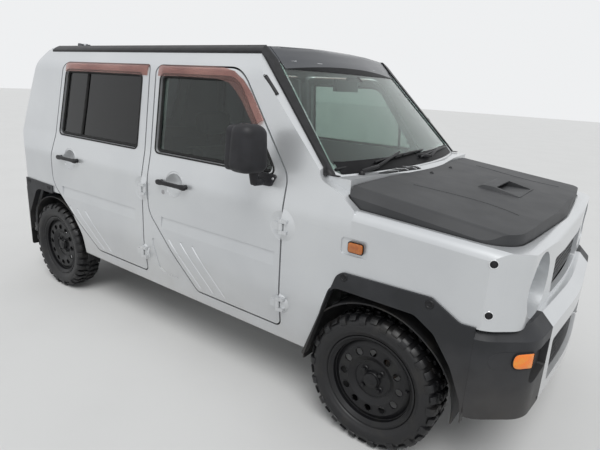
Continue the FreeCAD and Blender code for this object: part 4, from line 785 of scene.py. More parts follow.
# %% Round lamps
LAMP_X, LAMP_Y, LAMP_Z = 1.505, 0.524, 0.787
BOWL = mm((20, -46), (24, -46), (44, -36), (70, -16), (92, 4), (108, 22), (112, 26), (114, 26),
          (110, 20), (93, 1), (71, -19), (45, -39), (22, -49))
LENS = mm((0.0, 44), (40, 42), (78, 37), (102, 31), (115, 27), (115, 24), (100, 28), (77, 34),
          (40, 39), (0.0, 41))
LAMP_RIM = mm((112, 24), (117, 24), (117, 33), (114, 34), (112, 31))
BULB_CAP = mm((0.0, 24), (12, 23), (17, 20), (18, 14), (18, -20), (0.0, -20))
for flank, s in SIDES:
    lamp_place = Matrix.Translation((LAMP_X, s * LAMP_Y, LAMP_Z))
    forwards = lamp_place @ Matrix.Rotation(math.radians(90), 4, "Y")
    bowl = bmesh.new()
    add_turned(bowl, BOWL, 48, forwards)
    add_turned(bowl, BULB_CAP, 24, forwards, closed=False)
    add_turned(bowl, LAMP_RIM, 48, forwards)
    finished("lamp_bowl_" + flank, bowl, mirror_metal, "body")
    lens = bmesh.new()
    add_turned(lens, LENS, 48, forwards, closed=False)
    made = finished("lamp_lens_" + flank, lens, glasses["lamp_glass"], "body")
    if s > 0:
        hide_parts("headlamps")
print("two lamps built")

# %% [markdown]
# ## Plugs, bolts and screws
# The corners of the nose carry two black plugs a side, and the claddings are held by round-headed
# bolts in shallow cups. One turned section makes each kind, and the part is set where a ray meets
# the panel.

# %% Plugs and bolts
PLUG = mm((0.0, 1.5), (6, 1.5), (8.5, 0.5), (9.5, 2.2), (11.5, 2.6), (13, 1.2), (13.5, -1),
          (0.0, -1))
BOLT = mm((0.0, 3), (4.5, 3), (5, 1.2), (9, 1.0), (11, 2.8), (14.5, 3.2), (16, 1.6), (17, -1),
          (0.0, -1))
SCREW = mm((0.0, 2.5), (3.5, 2.2), (5.5, 0.6), (6, -1), (0.0, -1))
PLUG_RING = (0.0138, 0.0004, 0.0016)
PLUGS = mm((1500, 891), (1510, 717))
BOLTS = mm((975, 699), (1319, 699), (-1262, 677), (-1520, 683))
SCREW_Y, SCREW_HEIGHTS = 0.472, (0.540, 0.352)


def add_studs(shape, rows, steps, places, s, closed=False):
    """Copies of one turned part where level rays meet the flank."""
    for x, z in places:
        add_turned(shape, rows, steps, facing(*onto_flank(flank_skin[s], x, z, s)), closed)


nose_tree = skin_of("front_cladding")
for flank, s in SIDES:
    plugs, rings, bolts = bmesh.new(), bmesh.new(), bmesh.new()
    add_studs(plugs, PLUG, 24, PLUGS, s)
    add_studs(rings, ring_rows(*PLUG_RING), 28, PLUGS, s, closed=True)
    add_studs(bolts, BOLT, 24, BOLTS, s)
    for z in SCREW_HEIGHTS:
        spot, normal = landing(nose_tree, (1.9, s * SCREW_Y, z), (-1, 0, 0))
        add_turned(bolts, SCREW, 16, facing(spot, normal), closed=False)
    finished("nose_plugs_" + flank, plugs, trim_plastic, "body")
    finished("plug_rings_" + flank, rings, mirror_metal, "body")
    finished("cladding_bolts_" + flank, bolts, trim_plastic, "body")
print("plugs and bolts are on")

# %% [markdown]
# ## Windows
# Each side window lies in a black rubber channel. The channel is a bead swept round the window's
# outline where it meets the door, with a second bead inside it against the glass and a post across.
# A tinted rain visor follows the upper edge: four rails of points, bridged into a sheet with a
# wall.

# %% Window channels
WINDOWS = {
    "front": mm((592, 1034, 25), (322, 1408, 110), (-190, 1408, 30), (-196, 1034, 25)),
    "rear": mm((-356, 1034, 25), (-346, 1408, 30), (-1070, 1408, 35), (-1128, 1034, 25)),
}
POSTS = {
    "front": mm((478, 1036), (478, 1120), (478, 1205)),
    "rear": mm((-905, 1036), (-880, 1200), (-853, 1406)),
}


def around(outline, out):
    """A closed outline's points, spaced evenly and pushed outwards by a distance."""
    middle = sum(outline, Vector((0, 0))) / len(outline)
    points = []
    for i, point in enumerate(outline):
        before, after = outline[i - 1], outline[(i + 1) % len(outline)]
        along = (after - before).normalized()
        away = Vector((along.y, -along.x))
        if away.dot(point - middle) < 0:
            away = -away
        points.append(point + away * out)
    return points


def divided(points, longest=0.05):
    """Adds points so that no run is longer than a limit."""
    fine = []
    for i, point in enumerate(points):
        after = points[(i + 1) % len(points)]
        count = max(1, math.ceil((after - point).length / longest))
        fine.extend(point.lerp(after, k / count) for k in range(count))
    return fine


for place, end, s in PLACES:
    door_tree = skin_of("door_" + place)
    glass_tree = skin_of("door_glass_" + place)
    channel = bmesh.new()
    edge = divided(rounded(WINDOWS[end]))
    rim = [onto_flank(door_tree, *point, s)[0] for point in around(edge, 0.005)]
    add_bead(channel, rim, 0.0045, closed=True)
    for line, radius, closed in ((around(edge, -0.007), 0.0075, True), (POSTS[end], 0.009, False)):
        spots = [onto_flank(glass_tree, *point, s) for point in line]
        add_bead(channel, [spot + normal * 0.001 for spot, normal in spots], radius, closed)
    finished("window_channel_" + place, channel, seal_rubber, "door_%s_body" % place)
print("four windows sealed")

# %% Rain visors
smoked = new_finish("smoked_visor", (0.68, 0.47, 0.43), 0.06, Transmission_Weight=0.88, IOR=1.2)
mottle(smoked, (0.60, 0.40, 0.37), 6.0)
VISORS = {
    "front": mm((-200, 1454), (-60, 1456), (90, 1456), (225, 1454), (300, 1438), (360, 1404),
                (420, 1348), (475, 1280), (498, 1248)),
    "rear": mm((-1060, 1454), (-900, 1456), (-650, 1456), (-420, 1456), (-300, 1454)),
}
VISOR_RAILS = ((0.0, 0.002), (0.012, 0.011), (0.030, 0.013), (0.052, 0.013))
VISOR_FLARE = 0.17


def visor_rail(line, drop, proud, s):
    """One long edge of a visor: its line moved down towards the window and out from the door."""
    points = []
    for i, (x, z) in enumerate(line):
        before, after = Vector(line[max(i - 1, 0)]), Vector(line[min(i + 1, len(line) - 1)])
        along = (after - before).normalized()
        down = Vector((along.y, -along.x))
        if down.y > 0:
            down = -down
        spot, _ = onto_flank(flank_skin[s], x, z, s)
        y = spot.y + s * proud + s * drop * VISOR_FLARE
        points.append(Vector((x + down.x * drop, y, z + down.y * drop)))
    return points


for place, end, s in PLACES:
    visor = sheet([visor_rail(VISORS[end], drop, proud, s) for drop, proud in VISOR_RAILS], 0.0022)
    finished("rain_visor_" + place, visor, smoked, "door_%s_body" % place, sharp=50)
print("four visors hung")

# %% [markdown]
# ## Seats
# A seat is foam under woven cloth. Each block starts as its side outline, pushed across the car and
# softened, a little smaller than the finished pad. A remesh gives it even faces, and a short cloth
# simulation with air pressure inside crowns it, with a cap on how far any point may go. The sewn
# channels are pressed in afterwards, because a remesh would wipe them out.

# %% Swelling foam
FOAM_CELL = 0.013
FOAM_RISE = 0.014
FOAM_STEPS = 20
FOAM_PRESSURE = 4
FOAM_INSET = 0.010


def applied(pad):
    """The mesh of a pad with its modifiers applied."""
    graph = bpy.context.evaluated_depsgraph_get()
    return bpy.data.meshes.new_from_object(pad.evaluated_get(graph))


def swollen(shape):
    """The stored mesh of a closed form after air pressure has crowned its sides."""
    merged(shape)
    pad = bpy.data.objects.new("pad", kept(shape))
    scene.collection.objects.link(pad)
    even = pad.modifiers.new("even", "REMESH")
    even.mode = "VOXEL"
    even.voxel_size = FOAM_CELL
    pad.data = applied(pad)
    pad.modifiers.clear()
    start = [vert.co.copy() for vert in pad.data.vertices]
    cloth = pad.modifiers.new("cloth", "CLOTH")
    cloth.settings.use_pressure = True
    cloth.settings.uniform_pressure_force = FOAM_PRESSURE
    cloth.settings.effector_weights.gravity = 0
    cloth.point_cache.frame_start = 1
    cloth.point_cache.frame_end = FOAM_STEPS
    for frame_number in range(1, FOAM_STEPS + 1):
        scene.frame_set(frame_number)
    blown = applied(pad)
    pad.modifiers.clear()
    for vert, rest in zip(blown.vertices, start):
        move = vert.co - rest
        if move.length > FOAM_RISE:
            vert.co = rest + move * (FOAM_RISE / move.length)
    pad.data = blown
    scene.frame_set(1)
    finer = pad.modifiers.new("finer", "SUBSURF")
    finer.levels = 1
    finer.render_levels = 1
    mesh = applied(pad)
    bpy.data.objects.remove(pad)
    return mesh


def foam_pad(corners, low_y, high_y):
    """A swollen block between two planes, from a side outline of (x, z) corners, drawn in."""
    outline = [Vector(corner) for corner in corners]
    middle = sum(outline, Vector((0, 0))) / len(outline)
    points = []
    for corner in outline:
        inwards = (middle - corner).normalized() * FOAM_INSET * 1.4
        points.append((corner.x + inwards.x, low_y + FOAM_INSET, corner.y + inwards.y))
    block = bmesh.new()
    add_prism(block, points, (0, high_y - low_y - 2 * FOAM_INSET, 0), 0.030, 3)
    return swollen(block)


def press_channels(mesh, faces_way, seams, depth=0.007, width=0.007):
    """Presses sewn channels into one side of a pad. A seam gives a point's distance to it."""
    normals = [vert.normal.copy() for vert in mesh.vertices]
    for vert, normal in zip(mesh.vertices, normals):
        if normal.dot(faces_way) > 0.35:
            near = min(seam(vert.co) for seam in seams)
            vert.co -= normal * depth * math.exp(-((near / width) ** 2))


print("foam tools ready")

# %% Front seats
UP, FORWARDS, SEAT_FACE = Vector((0, 0, 1)), Vector((1, 0, 0)), Vector((1, 0, 0.2))
SEAT_MIDDLE_Y = 0.335
SEAT_LOW_Y, SEAT_HIGH_Y = 0.102, 0.568
BOLSTER = 0.145
HEAD_HALF, HEAD_SEAM = 0.128, 0.085
FRONT_BLOCKS = (
    (mm((-70, 484), (420, 474), (416, 618), (-68, 598)), UP, 0, (0.05, 0.16, 0.27)),
    (mm((-88, 500), (22, 545), (-97, 1080), (-208, 1070)), SEAT_FACE, 2, (0.68, 0.79, 0.90, 1.0)),
)
HEAD_BLOCK = mm((-206, 1098), (-118, 1098), (-128, 1244), (-208, 1244))
POST_COLLAR = mm((6.5, 0), (13, 0), (14, 4), (12, 9), (6.5, 10))


def bolster_seams(middle_y, half, axis, steps):
    """Two long seams beside the middle panel, and short ones across it."""
    seams = [lambda p, y=middle_y + sign * half: abs(p.y - y) for sign in (-1, 1)]
    for value in steps:
        seams.append(lambda p, v=value: abs(p[axis] - v) if abs(p.y - middle_y) < half else 1.0)
    return seams


def seat_pad():
    """The three pads of the left front seat in one mesh: cushion, back and head."""
    shape = bmesh.new()
    for corners, way, axis, steps in FRONT_BLOCKS:
        mesh = foam_pad(corners, SEAT_LOW_Y, SEAT_HIGH_Y)
        press_channels(mesh, way, bolster_seams(SEAT_MIDDLE_Y, BOLSTER, axis, steps))
        shape.from_mesh(mesh)
    mesh = foam_pad(HEAD_BLOCK, SEAT_MIDDLE_Y - HEAD_HALF, SEAT_MIDDLE_Y + HEAD_HALF)
    head_seam = [lambda p: abs(abs(p.y - SEAT_MIDDLE_Y) - HEAD_SEAM)]
    press_channels(mesh, FORWARDS, head_seam, 0.005)
    shape.from_mesh(mesh)
    return shape


pad_mesh = kept(seat_pad())
for flank, s in SIDES:
    shape = copy_of(pad_mesh)
    bmesh.ops.scale(shape, vec=(1, s, 1), verts=shape.verts[:])
    pad = finished("seat_pad_" + flank, shape, seat_cloth, "body", sharp=80)
    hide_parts("front_seat_" + flank)
    posts = bmesh.new()
    for y in (SEAT_MIDDLE_Y - 0.055, SEAT_MIDDLE_Y + 0.055):
        add_rod(posts, (-0.152, s * y, 1.03), (-0.158, s * y, 1.13), 0.006, sides=16)
        add_turned(posts, POST_COLLAR, 20, Matrix.Translation((-0.152, s * y, 1.066)))
    lever = [(0.10, s * 0.578, 0.52), (0.02, s * 0.580, 0.535), (-0.05, s * 0.580, 0.56)]
    add_bead(posts, lever, 0.007)
    finished("seat_posts_" + flank, posts, trim_plastic, "body")
print("points in one front seat:", len(pad.data.vertices))

# %% Rear bench
BENCH_HALF = 0.598
BENCH_BLOCKS = (
    (mm((-866, 486), (-410, 494), (-408, 612), (-866, 596)), UP,
     [lambda p: abs(p.x + 0.62) if abs(p.y) < 0.56 else 1.0]),
    (mm((-868, 528), (-984, 528), (-1066, 1084), (-978, 1092)), SEAT_FACE,
     [lambda p: abs(p.z - 0.80), lambda p: abs(p.z - 0.98)]),
)
bench = bmesh.new()
for corners, way, seams in BENCH_BLOCKS:
    mesh = foam_pad(corners, -BENCH_HALF, BENCH_HALF)
    splits = [lambda p: abs(p.y), lambda p: abs(abs(p.y) - 0.32)]
    press_channels(mesh, way, splits + seams)
    bench.from_mesh(mesh)
bench_pad = finished("rear_bench_pad", bench, seat_cloth, "body", sharp=80)
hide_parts("rear_seat")
print("points in the bench:", len(bench_pad.data.vertices))

# %% [markdown]
# ## Door furniture
# The pulls are moulded bars with thicker ends on two round feet, in front of a dished cup with a
# bright lip. The mirror is a deep rounded housing on a post, whose foot is a plate with two screws.
# The housing starts as a block: its top is drawn in and its outer front corner pulled back, then
# all edges get a wide bevel, which gives the full round corners of the real housing.

# %% Pulls, cups and keyholes
PULL_Z = 0.896
PULL_X = {"front": -0.028, "rear": -0.992}
PULL = mm((-112, 0), (-108, 9), (-98, 13.5), (-80, 13.5), (-62, 10.5), (0, 10), (62, 10.5),
          (80, 13.5), (98, 13.5), (108, 9), (112, 0), (108, -9), (98, -13.5), (80, -13.5),
          (62, -10.5), (0, -10), (-62, -10.5), (-80, -13.5), (-98, -13.5), (-108, -9))
CUP_RADIUS, CUP_STEPS = 0.064, 40
KEYHOLE = mm((0.0, 1.2), (3.5, 1.2), (4, 2.4), (8, 2.6), (11, 1.8), (12, -1), (0.0, -1))
KEYHOLE_X, KEYHOLE_Z = -0.110, 0.844
screw_steel = new_finish("screw_steel", (0.42, 0.42, 0.43), 0.35, 0.9)
uneven_gloss(screw_steel, 0.3, 0.45, 60.0)


def add_pull(shape, x, s):
    """A bar with thick round ends, a waisted middle and two feet."""
    outline = [(x + a, s * 0.7425, PULL_Z + b) for a, b in PULL]
    add_prism(shape, outline, (0, s * 0.0135, 0), 0.0045)
    for foot_x in (x - 0.090, x + 0.090):
        add_rod(shape, (foot_x, s * 0.7280, PULL_Z), (foot_x, s * 0.7440, PULL_Z), 0.012)


for place, end, s in PLACES:
    x = PULL_X[end]
    pull = bmesh.new()
    add_pull(pull, x, s)
    made = finished("pull_" + place, pull, trim_plastic, "door_%s_body" % place,
                    sharp=50)
    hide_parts("door_fittings_" + place)
    lip = bmesh.new()
    door_tree = skin_of("door_" + place)
    spots = []
    for k in range(CUP_STEPS):
        angle = math.tau * k / CUP_STEPS
        across, rise = CUP_RADIUS * math.cos(angle), CUP_RADIUS * math.sin(angle)
        spots.append(onto_flank(door_tree, x + across, PULL_Z + rise, s)[0])
    add_bead(lip, spots, 0.0022, closed=True)
    finished("cup_lip_" + place, lip, silver, "door_%s_body" % place)
    if end == "front":
        lock = bmesh.new()
        seat = facing(*onto_flank(door_tree, KEYHOLE_X, KEYHOLE_Z, s))
        add_turned(lock, KEYHOLE, 28, seat, closed=False)
        add_block(lock, (-0.0012, -0.0035, 0.0005), (0.0012, 0.0035, 0.0018), seat)
        flank = place.split("_")[1]
        finished("keyhole_" + flank, lock, screw_steel, "door_%s_body" % place)
print("pulls, cups and keyholes are on")

# %% Mirrors
HOUSING_LOW, HOUSING_HIGH = (0.486, 0.781, 1.052), (0.636, 0.899, 1.242)
FOOT_PLATE = mm((486, 1030), (496, 1036), (590, 1035), (600, 1027), (583, 990), (574, 984),
                (522, 983), (512, 988))
BACK_X, BACK = 0.4825, mm((788, 1058, 26), (894, 1058, 26), (884, 1234, 34), (790, 1234, 34))
PANE_X, PANE = 0.4815, mm((794, 1065, 22), (888, 1065, 22), (878, 1227, 30), (795, 1227, 30))
mirror_plastic = new_finish("mirror_housing", (0.015, 0.015, 0.017), 0.48, Specular_IOR_Level=0.32)
mottle(mirror_plastic, (0.020, 0.020, 0.023), 18.0)
uneven_gloss(mirror_plastic, 0.42, 0.56, 26.0)
relief(mirror_plastic, "ShaderNodeTexVoronoi", 900.0, 0.0002, 0.3)


def add_housing(shape, s):
    """The housing: a block drawn in at its top and at its outer front, with full round edges."""
    verts = add_block(shape, HOUSING_LOW, HOUSING_HIGH)
    middle = [(a + b) / 2 for a, b in zip(HOUSING_LOW, HOUSING_HIGH)]
    for vert in verts:
        if vert.co.x > middle[0] and vert.co.y > middle[1]:
            vert.co.x -= 0.040
        if vert.co.z > middle[2]:
            vert.co.x += (middle[0] - vert.co.x) * 0.13
            vert.co.y += (0.80 - vert.co.y) * 0.10
    bmesh.ops.scale(shape, vec=(1, s, 1), verts=verts)
    soften(shape, verts, 0.038, 7)


def add_plate(shape, x, outline, s, push, bevel=0.0):
    """A plate across the X axis, from an outline of (y, z) points."""
    add_prism(shape, [(x, s * y, z) for y, z in outline], (push, 0, 0), bevel)


for flank, s in SIDES:
    body = "door_front_%s_body" % flank
    tree = skin_of("door_front_" + flank)
    housing = bmesh.new()
    add_housing(housing, s)
    add_rod(housing, (0.556, s * 0.792, 1.000), (0.554, s * 0.800, 1.062), 0.017, 0.020, 24, 0.004)
    add_rod(housing, (0.556, s * 0.745, 1.006), (0.556, s * 0.796, 1.010), 0.016, 0.017, 24, 0.005)
    plate = [(x, onto_flank(tree, x, z, s)[0].y - s * 0.001, z) for x, z in FOOT_PLATE]
    add_prism(housing, plate, (0, s * 0.0095, 0), 0.0028)
    add_plate(housing, BACK_X, rounded(BACK), s, 0.034, 0.004)
    made = finished("mirror_" + flank, housing, mirror_plastic, body, sharp=50)
    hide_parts("door_fittings_front_" + flank)
    screws = bmesh.new()
    for x, z in mm((502, 1017), (586, 1017)):
        spot, _ = onto_flank(tree, x, z, s)
        seat = facing(spot + Vector((0, s * 0.0085, 0)), Vector((0, s, 0)))
        add_turned(screws, SCREW, 16, seat, closed=False)
    finished("mirror_screws_" + flank, screws, screw_steel, body)
    pane = bmesh.new()
    add_plate(pane, PANE_X, rounded(PANE), s, 0.003)
    finished("mirror_pane_" + flank, pane, mirror_metal, body)
print("mirrors hung")

# %% [markdown]
# ## Windscreen foot, wipers and cowl
# These parts were placed by the photograph: a line of sight through a pixel is followed until it
# meets the glass or the cowl, and the part is set there. The black bands along the foot and the
# head of the glass are sheets bridged between rows of points, as is the brow where the roof meets
# the glass. A wiper is a hooded pivot, a tapered arm that bends once, and a blade with a spine that
# bows over it.

# %% Sight lines
def seen_at(tree, column, row):
    """Where the line of sight through a pixel of the photograph lands, and the way faced there."""
    across, rise = column - PHOTO_WIDTH / 2, PHOTO_HEIGHT / 2 - row
    way = (right * across + up * rise) / FOCAL_PIXELS - backwards
    return landing(tree, CAMERA_PLACE, way.normalized())


screen_tree = skin_of("windscreen")
cowl_tree = skin_of("body_shell")
bonnet_tree = skin_of("bonnet")
screen_low, screen_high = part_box("windscreen")
print("windscreen foot at", [round(v, 3) for v in screen_low])

# %% Black band on the glass
band_ink = new_finish("glass_band", (0.006, 0.006, 0.007), 0.45, 0.0, Specular_IOR_Level=0.1)
mottle(band_ink, (0.010, 0.010, 0.011), 9.0)


def glass_edge(y, start, step):
    """The height where a level ray first meets the glass, going up or down from a start."""
    z = start
    for _ in range(90):
        if screen_tree.ray_cast(Vector((1.6, y, z)), -FORWARDS)[0] is not None:
            break
        z += step
    return z


def screen_rail(start, step, inwards, half, count=24):
    """Points across the glass at a distance in from its foot or its head."""
    points = []
    for k in range(count + 1):
        y = -half + 2 * half * k / count
        z = glass_edge(y, start, step) + (inwards if step > 0 else -inwards)
        spot, normal = landing(screen_tree, (1.6, y, z), (-1, 0, 0))
        points.append(spot + normal * 0.0012)
    return points


for name, start, step, half, widths in (
    ("screen_foot_band", screen_low[2] - 0.01, 0.002, 0.605, (0.001, 0.022, 0.044)),
    ("screen_top_band", screen_high[2] + 0.01, -0.002, 0.500, (0.001, 0.020, 0.036)),
):
    band = sheet([screen_rail(start, step, inwards, half) for inwards in widths], 0.0008)
    finished(name, band, band_ink, "body", sharp=60)

BROW_ROWS, BROW_STEPS, BROW_HALF = 10, 24, 0.515
brow_tree = skin_of("body_shell", "roof_panel", "windscreen")
rows = []
for k in range(BROW_ROWS):
    out = -0.040 + 0.0128 * k
    row = []
    for j in range(BROW_STEPS + 1):
        y = -BROW_HALF + 2 * BROW_HALF * j / BROW_STEPS
        spot, normal = landing(brow_tree, (1.426 - out, y, 2.496 + out), (-0.7071, 0, -0.7071))
        row.append(spot + normal * 0.0015)
    rows.append(row)
finished("roof_brow", sheet(rows, 0.001), roof_paint, "body", sharp=60)
print("bands printed")

# %% Wipers
WIPERS = (
    {"pivot": (371.5, 177.5), "knee": (376.0, 170.5), "tip": (396.5, 154.5),
     "blade": ((373.5, 163.5), (421.0, 151.0))},
    {"pivot": (424.5, 164.5), "knee": (428.0, 159.5), "tip": (436.5, 149.0),
     "blade": ((419.0, 158.0), (447.0, 146.5))},
)
PIVOT_X = 0.888
BLADE_STEPS = 12
HOOD = mm((0.0, 17), (6, 16.5), (10, 13), (12, 7), (14, 0), (14, -8), (0.0, -8))
wipers = bmesh.new()
for parts in WIPERS:
    seen, _ = seen_at(cowl_tree, *parts["pivot"])
    pivot, _ = from_above(cowl_tree, PIVOT_X, seen.y)
    add_turned(wipers, HOOD, 24, Matrix.Translation(pivot), closed=False)
    knee = seen_at(screen_tree, *parts["knee"])[0] + Vector((0.010, 0, 0.020))
    tip_spot, tip_way = seen_at(screen_tree, *parts["tip"])
    tip = tip_spot + tip_way * 0.020
    add_rod(wipers, pivot + Vector((0, 0, 0.012)), knee, 0.010, 0.008, 12, 0.002)
    add_rod(wipers, knee, tip, 0.008, 0.0045, 12, 0.0015)
    start, end = parts["blade"]
    rubber_line, spine_line = [], []
    for k in range(BLADE_STEPS + 1):
        t = k / BLADE_STEPS
        column = start[0] + (end[0] - start[0]) * t
        row = start[1] + (end[1] - start[1]) * t
        spot, way = seen_at(screen_tree, column, row)
        rubber_line.append(spot + way * 0.004)
        spine_line.append(spot + way * (0.010 + 0.010 * math.sin(math.pi * t)))
    add_bead(wipers, rubber_line, 0.0035)
    add_bead(wipers, spine_line, 0.0042)
    for k in (2, 5, 7, 10):
        add_rod(wipers, rubber_line[k], spine_line[k], 0.0035, sides=8)
made = finished("wiper_set", wipers, trim_plastic, "body")
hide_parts("wipers")
print("wipers laid on the glass")

# %% Cowl vent and washer nozzles
VENT = ((378.0, 173.6), (387.5, 175.2), (421.5, 169.0), (407.0, 166.2))
NOZZLE = mm((0.0, 8), (3, 7.5), (6, 5), (9, 1), (9, -1), (0.0, -1))
vent_corners = [seen_at(cowl_tree, *pixel)[0] for pixel in VENT]


def on_vent(a, b, lift):
    """A place on the vent: a runs along it and b across it, both from 0 to 1."""
    near = vent_corners[0].lerp(vent_corners[3], a)
    far = vent_corners[1].lerp(vent_corners[2], a)
    point = near.lerp(far, b)
    return from_above(cowl_tree, point.x, point.y)[0] + Vector((0, 0, lift))


vent = sheet([[on_vent(j / 8, k / 4, 0.0012) for j in range(9)] for k in range(5)], 0.001)
for k in range(1, 10):
    add_bead(vent, [on_vent(j / 8, k / 10, 0.003) for j in range(9)], 0.0018)
finished("cowl_vent", vent, trim_plastic, "body")
bars = bmesh.new()
for a in (0.30, 0.58, 0.84):
    add_bead(bars, [on_vent(a, k / 4, 0.0035) for k in range(5)], 0.0020)
finished("vent_bars", bars, silver, "body")
nozzles = bmesh.new()
for s in (-1, 1):
    spot, way = from_above(bonnet_tree, 1.03, s * 0.119)
    add_turned(nozzles, NOZZLE, 20, facing(spot, way), closed=False)
finished("washer_nozzles", nozzles, trim_plastic, "bonnet_body")
print("vent and nozzles set")

# %% Roof strips with a cut foot
STRIP_FOOT_X = 0.872
strips = bmesh.new()
strips.from_mesh(nodes["roof_strips"].data)
merged(strips, 0.0001)
bmesh.ops.bisect_plane(
    strips, geom=strips.verts[:] + strips.edges[:] + strips.faces[:], dist=0.00001,
    plane_co=(STRIP_FOOT_X, 0, 0), plane_no=(1, 0, 0), clear_outer=True,
)
open_edges = [edge for edge in strips.edges if len(edge.link_faces) == 1]
bmesh.ops.holes_fill(strips, edges=open_edges, sides=0)
strip_pair = finished("roof_strip_pair", strips, trim_plastic, "body")
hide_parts("roof_strips")
print("strips cut at their feet")

# %% Bonnet creases
CREASE = ((413.5, 184.5), (432, 189), (451, 193.5), (470, 198.5), (489, 204), (506, 210),
          (519, 215.5))
creases = bmesh.new()
for s in (-1, 1):
    points = []
    for pixel in CREASE:
        spot, _ = seen_at(bonnet_tree, *pixel)
        high, way = from_above(bonnet_tree, spot.x, s * abs(spot.y))
        points.append(high - way * 0.0010)
    add_bead(creases, points, 0.0028, sides=3)
finished("bonnet_creases", creases, bonnet_film, "bonnet_body")
print("creases pressed")

# %% [markdown]
# ## Lenses, aerial and tail
# The indicator lens is a thin moulded shell that wraps the corner of the bumper. Two sight lines
# give its ends, and rays lay its outline, and smaller copies of it, on the cladding. The side
# marker is a small softened plate with a frame. The lamps at the tail get an amber and a clear
# field, a wiper crosses the rear glass under a stop lamp, and flaps hang behind the rear wheels.

# %% Corner lenses and side markers
marker_amber = new_finish("marker_amber", (0.46, 0.13, 0.012), 0.18,
                          Coat_Weight=0.8, Coat_Roughness=0.04)
mottle(marker_amber, (0.36, 0.09, 0.008), 60.0)
relief(marker_amber, "ShaderNodeTexWave", 55.0, 0.0010, 0.6)
clear_lens = new_finish("clear_lens", (0.74, 0.76, 0.78), 0.12,
                        Coat_Weight=0.8, Coat_Roughness=0.04)
mottle(clear_lens, (0.62, 0.64, 0.66), 45.0)
cladding_tree = skin_of("front_cladding", "indicators")
wing_tree = skin_of("front_wings", "indicators")
CORNER = Vector((1.62, 0.68, 0))
DIAGONAL = math.sqrt(0.5)
LENS_LOW, LENS_HIGH = 0.530, 0.588
LENS_LAYERS = ((1.0, -0.001), (1.0, 0.003), (0.90, 0.0048), (0.60, 0.0056), (0.25, 0.0060))
MARKER_X, MARKER_Z = 1.0125, 0.8245


def on_corner(t, z, s, lift=0.0):
    """A place on the corner: t runs round it towards the front. Rays come in on its diagonal."""
    along = Vector((DIAGONAL, -s * DIAGONAL, 0))
    out = Vector((DIAGONAL, s * DIAGONAL, 0))
    start = Vector((CORNER.x, s * CORNER.y, z)) + along * t + out * 0.4
    spot, way = landing(cladding_tree, start, -out)
    return spot + way * lift


def corner_reach(column, row):
    """How far round the corner a pixel of the photograph lies."""
    spot, _ = seen_at(cladding_tree, column, row)
    return (spot.x - CORNER.x) * DIAGONAL + (spot.y + CORNER.y) * DIAGONAL


lens_start, lens_end = corner_reach(510.0, 372.0), corner_reach(532.5, 360.0)
print("corner lens reaches round the corner from", round(lens_start, 3), "to", round(lens_end, 3))
CORNER_LENS = rounded([
    (lens_start, LENS_LOW, 0.026), (lens_end, LENS_LOW, 0.006),
    (lens_end, LENS_HIGH, 0.006), (lens_start, LENS_HIGH, 0.026),
])


def add_lens(shape, s):
    """A shell over the corner, bridged between copies of the outline. Gives back its outer line."""
    middle = sum(CORNER_LENS, Vector((0, 0))) / len(CORNER_LENS)
    loops, rim = [], []
    for share, lift in LENS_LAYERS:
        verts = []
        for point in CORNER_LENS:
            t, z = middle + (point - middle) * share
            verts.append(shape.verts.new(on_corner(t, z, s, lift)))
        if share == 1.0 and lift > 0:
            rim = [vert.co.copy() for vert in verts]
        loops.append([shape.edges.new((a, b)) for a, b in zip(verts, verts[1:] + verts[:1])])
    for outer, inner in zip(loops, loops[1:]):
        bmesh.ops.bridge_loops(shape, edges=outer + inner)
    bmesh.ops.contextual_create(shape, geom=loops[-1])
    return rim


for flank, s in SIDES:
    corner = bmesh.new()
    rim = add_lens(corner, s)
    finished("corner_lens_" + flank, corner, amber_lens, "body")
    seal = bmesh.new()
    add_bead(seal, rim, 0.0022, closed=True)
    finished("corner_lens_seal_" + flank, seal, seal_rubber, "body")
    wing_y = onto_flank(wing_tree, MARKER_X, MARKER_Z, s)[0].y
    marker = bmesh.new()
    plate = rounded_box((0.982, 0.806), (1.043, 0.843), 0.010)
    outline = [(x, wing_y - s * 0.004, z) for x, z in plate]
    add_prism(marker, outline, (0, s * 0.011, 0), 0.0028)
    finished("marker_lens_" + flank, marker, marker_amber, "body")
    seal = bmesh.new()
    ring = rounded_box((0.980, 0.804), (1.045, 0.845), 0.011)
    add_bead(seal, [(x, wing_y + s * 0.001, z) for x, z in ring], 0.0022, closed=True)
    finished("marker_seal_" + flank, seal, seal_rubber, "body")
print("lenses fitted")

# %% Aerial foot
AERIAL_OUT = Vector((0.1, -1, 0.2)).normalized()
aerial = bmesh.new()
ends = [seen_at(cowl_tree, 265.6, 76.0)[0], seen_at(cowl_tree, 277.2, 94.6)[0]]
line = [ends[0].lerp(ends[1], k / 4) for k in range(5)]
line = [onto_flank(cowl_tree, point.x, point.z, -1)[0] for point in line]
add_bead(aerial, line, 0.0085, sides=4)
for spot in (line[0], line[-1]):
    add_turned(aerial, ring_rows(0.004, 0.0085, 0.0012), 16, facing(spot, AERIAL_OUT))
finished("aerial_foot", aerial, trim_plastic, "body")
print("aerial foot set")

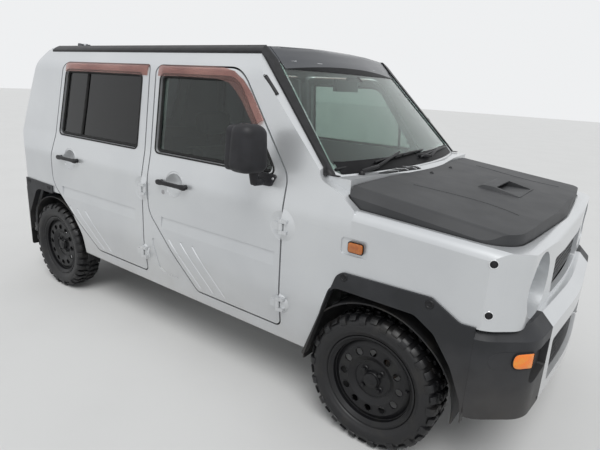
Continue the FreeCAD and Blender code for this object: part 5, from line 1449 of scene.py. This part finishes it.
# %% Tail lamps, rear wiper and flaps
FIELDS = (
    ("tail_amber_", amber_lens, 0.884, 0.940, "amber"),
    ("tail_clear_", clear_lens, 0.738, 0.784, "lamp_glass"),
)
WIPER_HUB = mm((0.0, 26), (8, 25), (14, 20), (17, 10), (19, -2), (0.0, -2))
FLAP = mm((570, 212, 14), (722, 212, 14), (722, 400, 6), (570, 400, 6))


def on_tail(tree, outline, s, sunk):
    """An outline of (y, z) points laid on the tail, then moved forwards to sit in it."""
    return [from_behind(tree, s * y, z)[0] + Vector((sunk, 0, 0)) for y, z in outline]


tail_tree = skin_of("tail_lamps")
for flank, s in SIDES:
    for name, finish, low_z, high_z, slot in FIELDS:
        field = bmesh.new()
        outline = rounded_box((0.628, low_z), (0.692, high_z), 0.006, 3)
        add_prism(field, on_tail(tail_tree, outline, s, 0.002), (-0.0045, 0, 0), 0.0012)
        finished(name + flank, field, finish, "body")
glass_tree = skin_of("tailgate_glass", "tailgate")
rear_wiper = bmesh.new()
hub, way = from_behind(glass_tree, 0.0, 1.030)
add_turned(rear_wiper, WIPER_HUB, 24, facing(hub, way), closed=False)
blade_line = []
for k in range(9):
    spot, out = from_behind(glass_tree, 0.02 + 0.40 * k / 8, 1.082 + 0.012 * k / 8)
    blade_line.append(spot + out * 0.006)
add_rod(rear_wiper, hub + way * 0.018, blade_line[4] + way * 0.010, 0.008, 0.005, 12, 0.001)
add_bead(rear_wiper, blade_line, 0.0052)
finished("rear_wiper", rear_wiper, trim_plastic, "tailgate_body")
stop_lamp = bmesh.new()
outline = rounded_box((-0.13, 1.452), (0.13, 1.474), 0.006, 3)
add_prism(stop_lamp, on_tail(glass_tree, outline, 1, 0.003), (-0.010, 0, 0), 0.002)
finished("high_stop_lamp", stop_lamp, red_lens, "tailgate_body")
flaps = bmesh.new()
for s in (-1, 1):
    add_plate(flaps, -1.600, rounded(FLAP, 3), s, 0.006, 0.001)
finished("mud_flaps", flaps, seal_rubber, "body")
print("tail dressed")
